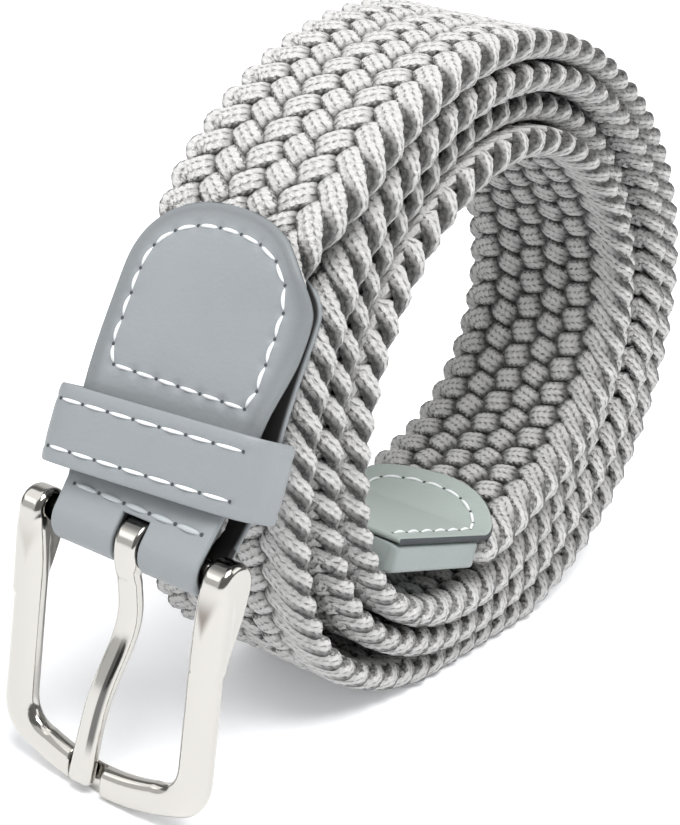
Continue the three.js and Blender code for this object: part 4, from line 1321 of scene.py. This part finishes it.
def surface_of(field, low, high, step):
    """Points and four-cornered faces of a field's zero surface, moved on to it from a grid of cells."""
    axes = [np.arange(a, b + step, step) for a, b in zip(low, high)]
    values = field(*np.meshgrid(*axes, indexing="ij", sparse=True))
    shape = np.array(values.shape) - 1
    total = np.zeros((*shape, 3))
    count = np.zeros(shape)
    for axis in range(3):
        first, second = values.take(range(shape[axis]), axis), values.take(range(1, shape[axis] + 1), axis)
        crossing = (first < 0) != (second < 0)
        share = np.where(crossing, first / np.where(crossing, first - second, 1), 0)
        u, v = [other for other in range(3) if other != axis]
        for du, dv in ((0, 0), (0, 1), (1, 0), (1, 1)):
            window = [slice(None)] * 3
            window[u] = slice(du, du + shape[u])
            window[v] = slice(dv, dv + shape[v])
            part = crossing[tuple(window)]
            count += part
            total[..., axis] += part * share[tuple(window)]
            total[..., u] += part * du
            total[..., v] += part * dv
    active = count > 0
    points = np.array(low) + (np.argwhere(active) + total[active] / count[active][:, None]) * step
    for _ in range(SETTLE["times"]):
        points = towards_surface(field, points)
    return points, surface_quads(values < 0, active)


def surface_quads(inside, active):
    """A face round each line of the grid that goes through the surface, between its four cells."""
    shape = active.shape
    number = np.full(shape, -1)
    number[active] = np.arange(active.sum())
    quads = []
    for axis in range(3):
        u, v = (axis + 1) % 3, (axis + 2) % 3
        first, second = inside.take(range(shape[axis]), axis), inside.take(range(1, shape[axis] + 1), axis)
        places = np.argwhere(first != second)
        for other in (u, v):
            places = places[(places[:, other] > 0) & (places[:, other] < shape[other])]
        corners = []
        for du, dv in ((0, 0), (-1, 0), (-1, -1), (0, -1)):
            cell = places.copy()
            cell[:, u] += du
            cell[:, v] += dv
            corners.append(number[tuple(cell.T)])
        faces = np.stack(corners, axis=1)
        flipped = ~first[tuple(places.T)]
        faces[flipped] = faces[flipped][:, ::-1]
        quads.append(faces)
    return np.concatenate(quads)


def towards_surface(field, points):
    reach = SETTLE["reach"]
    value = field(*points.T)
    slope = np.zeros_like(points)
    for axis in range(3):
        shift = np.zeros(3)
        shift[axis] = reach
        slope[:, axis] = (field(*(points + shift).T) - field(*(points - shift).T)) / (2 * reach)
    steep = np.maximum((slope**2).sum(axis=1), SETTLE["least_slope"])
    move = -(value / steep)[:, None] * slope
    return points + np.clip(move, -SETTLE["longest"], SETTLE["longest"])


def in_buckle(points):
    x, up, front = (points[..., i, None] for i in range(3))
    return BAR_ORIGIN + X_AXIS * x + BUCKLE_UP * up + BUCKLE_FRONT * front


def build_buckle():
    points, quads = surface_of(frame_field(), *FRAME_BOX, detail(STEPS["frame"]))
    metal = make_mesh("frame_metal", in_buckle(points), quads)
    finish_piece(metal, NICKEL, "buckle", ("buckle_frame",))
    points, quads = surface_of(prong_field, *PRONG_BOX, detail(STEPS["prong"]))
    pin = make_mesh("prong_metal", in_buckle(points), quads)
    finish_piece(pin, PRONG_NICKEL, "prong", ("prong",))
    build_bar()


def build_bar():
    size = BAR["points"]
    turn = ring_turns(size)
    half, radius, chamfer = BAR["half_length"], BAR["radius"], BAR["chamfer"]
    rings = [(-half, radius - chamfer), (-half + chamfer, radius)]
    rings += [(half - chamfer, radius), (half, radius - chamfer)]
    points = [np.stack([np.full(size, x), r * np.cos(turn), r * np.sin(turn)], axis=1) for x, r in rings]
    bar = tube_mesh("bar_metal", [in_buckle(np.stack(points))])
    finish_piece(bar, NICKEL, "buckle", ("buckle_bar",))


# Camera, floor and light

CAMERA_AXES = {
    "right": (0.79316, 0.60448, 0.07406),
    "up": (-0.27383, 0.24537, 0.92996),
    "forward": (-0.54398, 0.75789, -0.36014),
}
CAMERA_FROM_COIL = (186.14, -279.73, 117.82)
SENSOR = 36.0
FOCAL_PIXELS = 1970.9
PHOTO_HEIGHT = 825
FLOOR = {"color": (0.95, 0.955, 0.97), "glow": (0.97, 0.98, 1, 1), "strength": 0.17}
WORLD = {"bright": 0.21, "backdrop": 0.9, "behind": (-0.56, 0.78, 0.28), "low": 0.8, "high": 0.95}


def build_camera():
    data = bpy.data.cameras.new("camera")
    data.sensor_width = SENSOR
    data.lens = FOCAL_PIXELS * SENSOR / PHOTO_HEIGHT
    data.clip_start = 0.01
    camera = bpy.data.objects.new("camera", data)
    bpy.context.collection.objects.link(camera)
    right, up, forward = (Vector(CAMERA_AXES[name]) for name in ("right", "up", "forward"))
    rotation = Matrix((right, up, -forward)).transposed()
    place = Vector((COIL_CENTRE + CAMERA_FROM_COIL) * MM)
    camera.matrix_world = Matrix.Translation(place) @ rotation.to_4x4()
    bpy.context.scene.camera = camera


def build_floor():
    bpy.ops.mesh.primitive_plane_add(size=8, location=(0, 0, 0))
    floor = bpy.context.active_object
    floor.name = "floor"
    glow = {"Emission_Color": FLOOR["glow"], "Emission_Strength": FLOOR["strength"]}
    floor.data.materials.append(new_material("floor", FLOOR["color"], 0.9, **glow))


def area_light(name, location, target, size, power):
    data = bpy.data.lights.new(name, "AREA")
    data.shape = "SQUARE"
    data.size = size
    data.energy = power
    light = bpy.data.objects.new(name, data)
    light.location = location
    direction = Vector(target) - Vector(location)
    light.rotation_euler = direction.to_track_quat("-Z", "Y").to_euler()
    bpy.context.collection.objects.link(light)


def build_world():
    """An even studio with a brighter backdrop behind the belt, which the metal mirrors."""
    world = bpy.data.worlds.new("studio")
    bpy.context.scene.world = world
    world.use_nodes = True
    background = world.node_tree.nodes["Background"]
    put(world, background.inputs["Color"], (1, 1, 1, 1))
    towards = add_node(world, "ShaderNodeVectorMath")
    towards.operation = "DOT_PRODUCT"
    put(world, towards.inputs[0], add_node(world, "ShaderNodeTexCoord").outputs["Generated"])
    put(world, towards.inputs[1], WORLD["behind"])
    limits = {"From_Min": WORLD["low"], "From_Max": WORLD["high"]}
    limits.update({"To_Min": WORLD["bright"], "To_Max": WORLD["backdrop"]})
    strength = add_node(world, "ShaderNodeMapRange", Value=towards.outputs["Value"], **limits)
    strength.interpolation_type = "SMOOTHSTEP"
    put(world, background.inputs["Strength"], strength.outputs[0])


def build_lights():
    area_light("key", (0.44, -0.3, 1.27), (0, 0, 0.05), 0.8, 24)
    area_light("card", (-0.85, -1.2, 0.42), (0, -0.05, 0.04), 1.2, 3.0)
    area_light("upper_card", (-0.78, -0.58, 1.02), (0, -0.05, 0.04), 1.25, 7.0)
    area_light("fill", (0.85, 0.65, 0.85), (0, 0, 0.05), 0.9, 4.5)


build_camera()
build_floor()
build_world()
build_lights()
build_braid()
build_fold()
build_keeper()
build_tip_leaf()
build_tip_block()
build_buckle()

bpy.context.scene.view_settings.view_transform = "Standard"

SLOT_MATERIALS = {"braid": BRAID, "leather": LEATHER, "tip_leather": TIP_LEATHER_LIT, "nickel": NICKEL}
for subpart in frame["record"]["subparts"]:
    node = frame["nodes"][subpart["node"]]
    node.data.materials.clear()
    node.data.materials.append(SLOT_MATERIALS[subpart["material_slot"]])
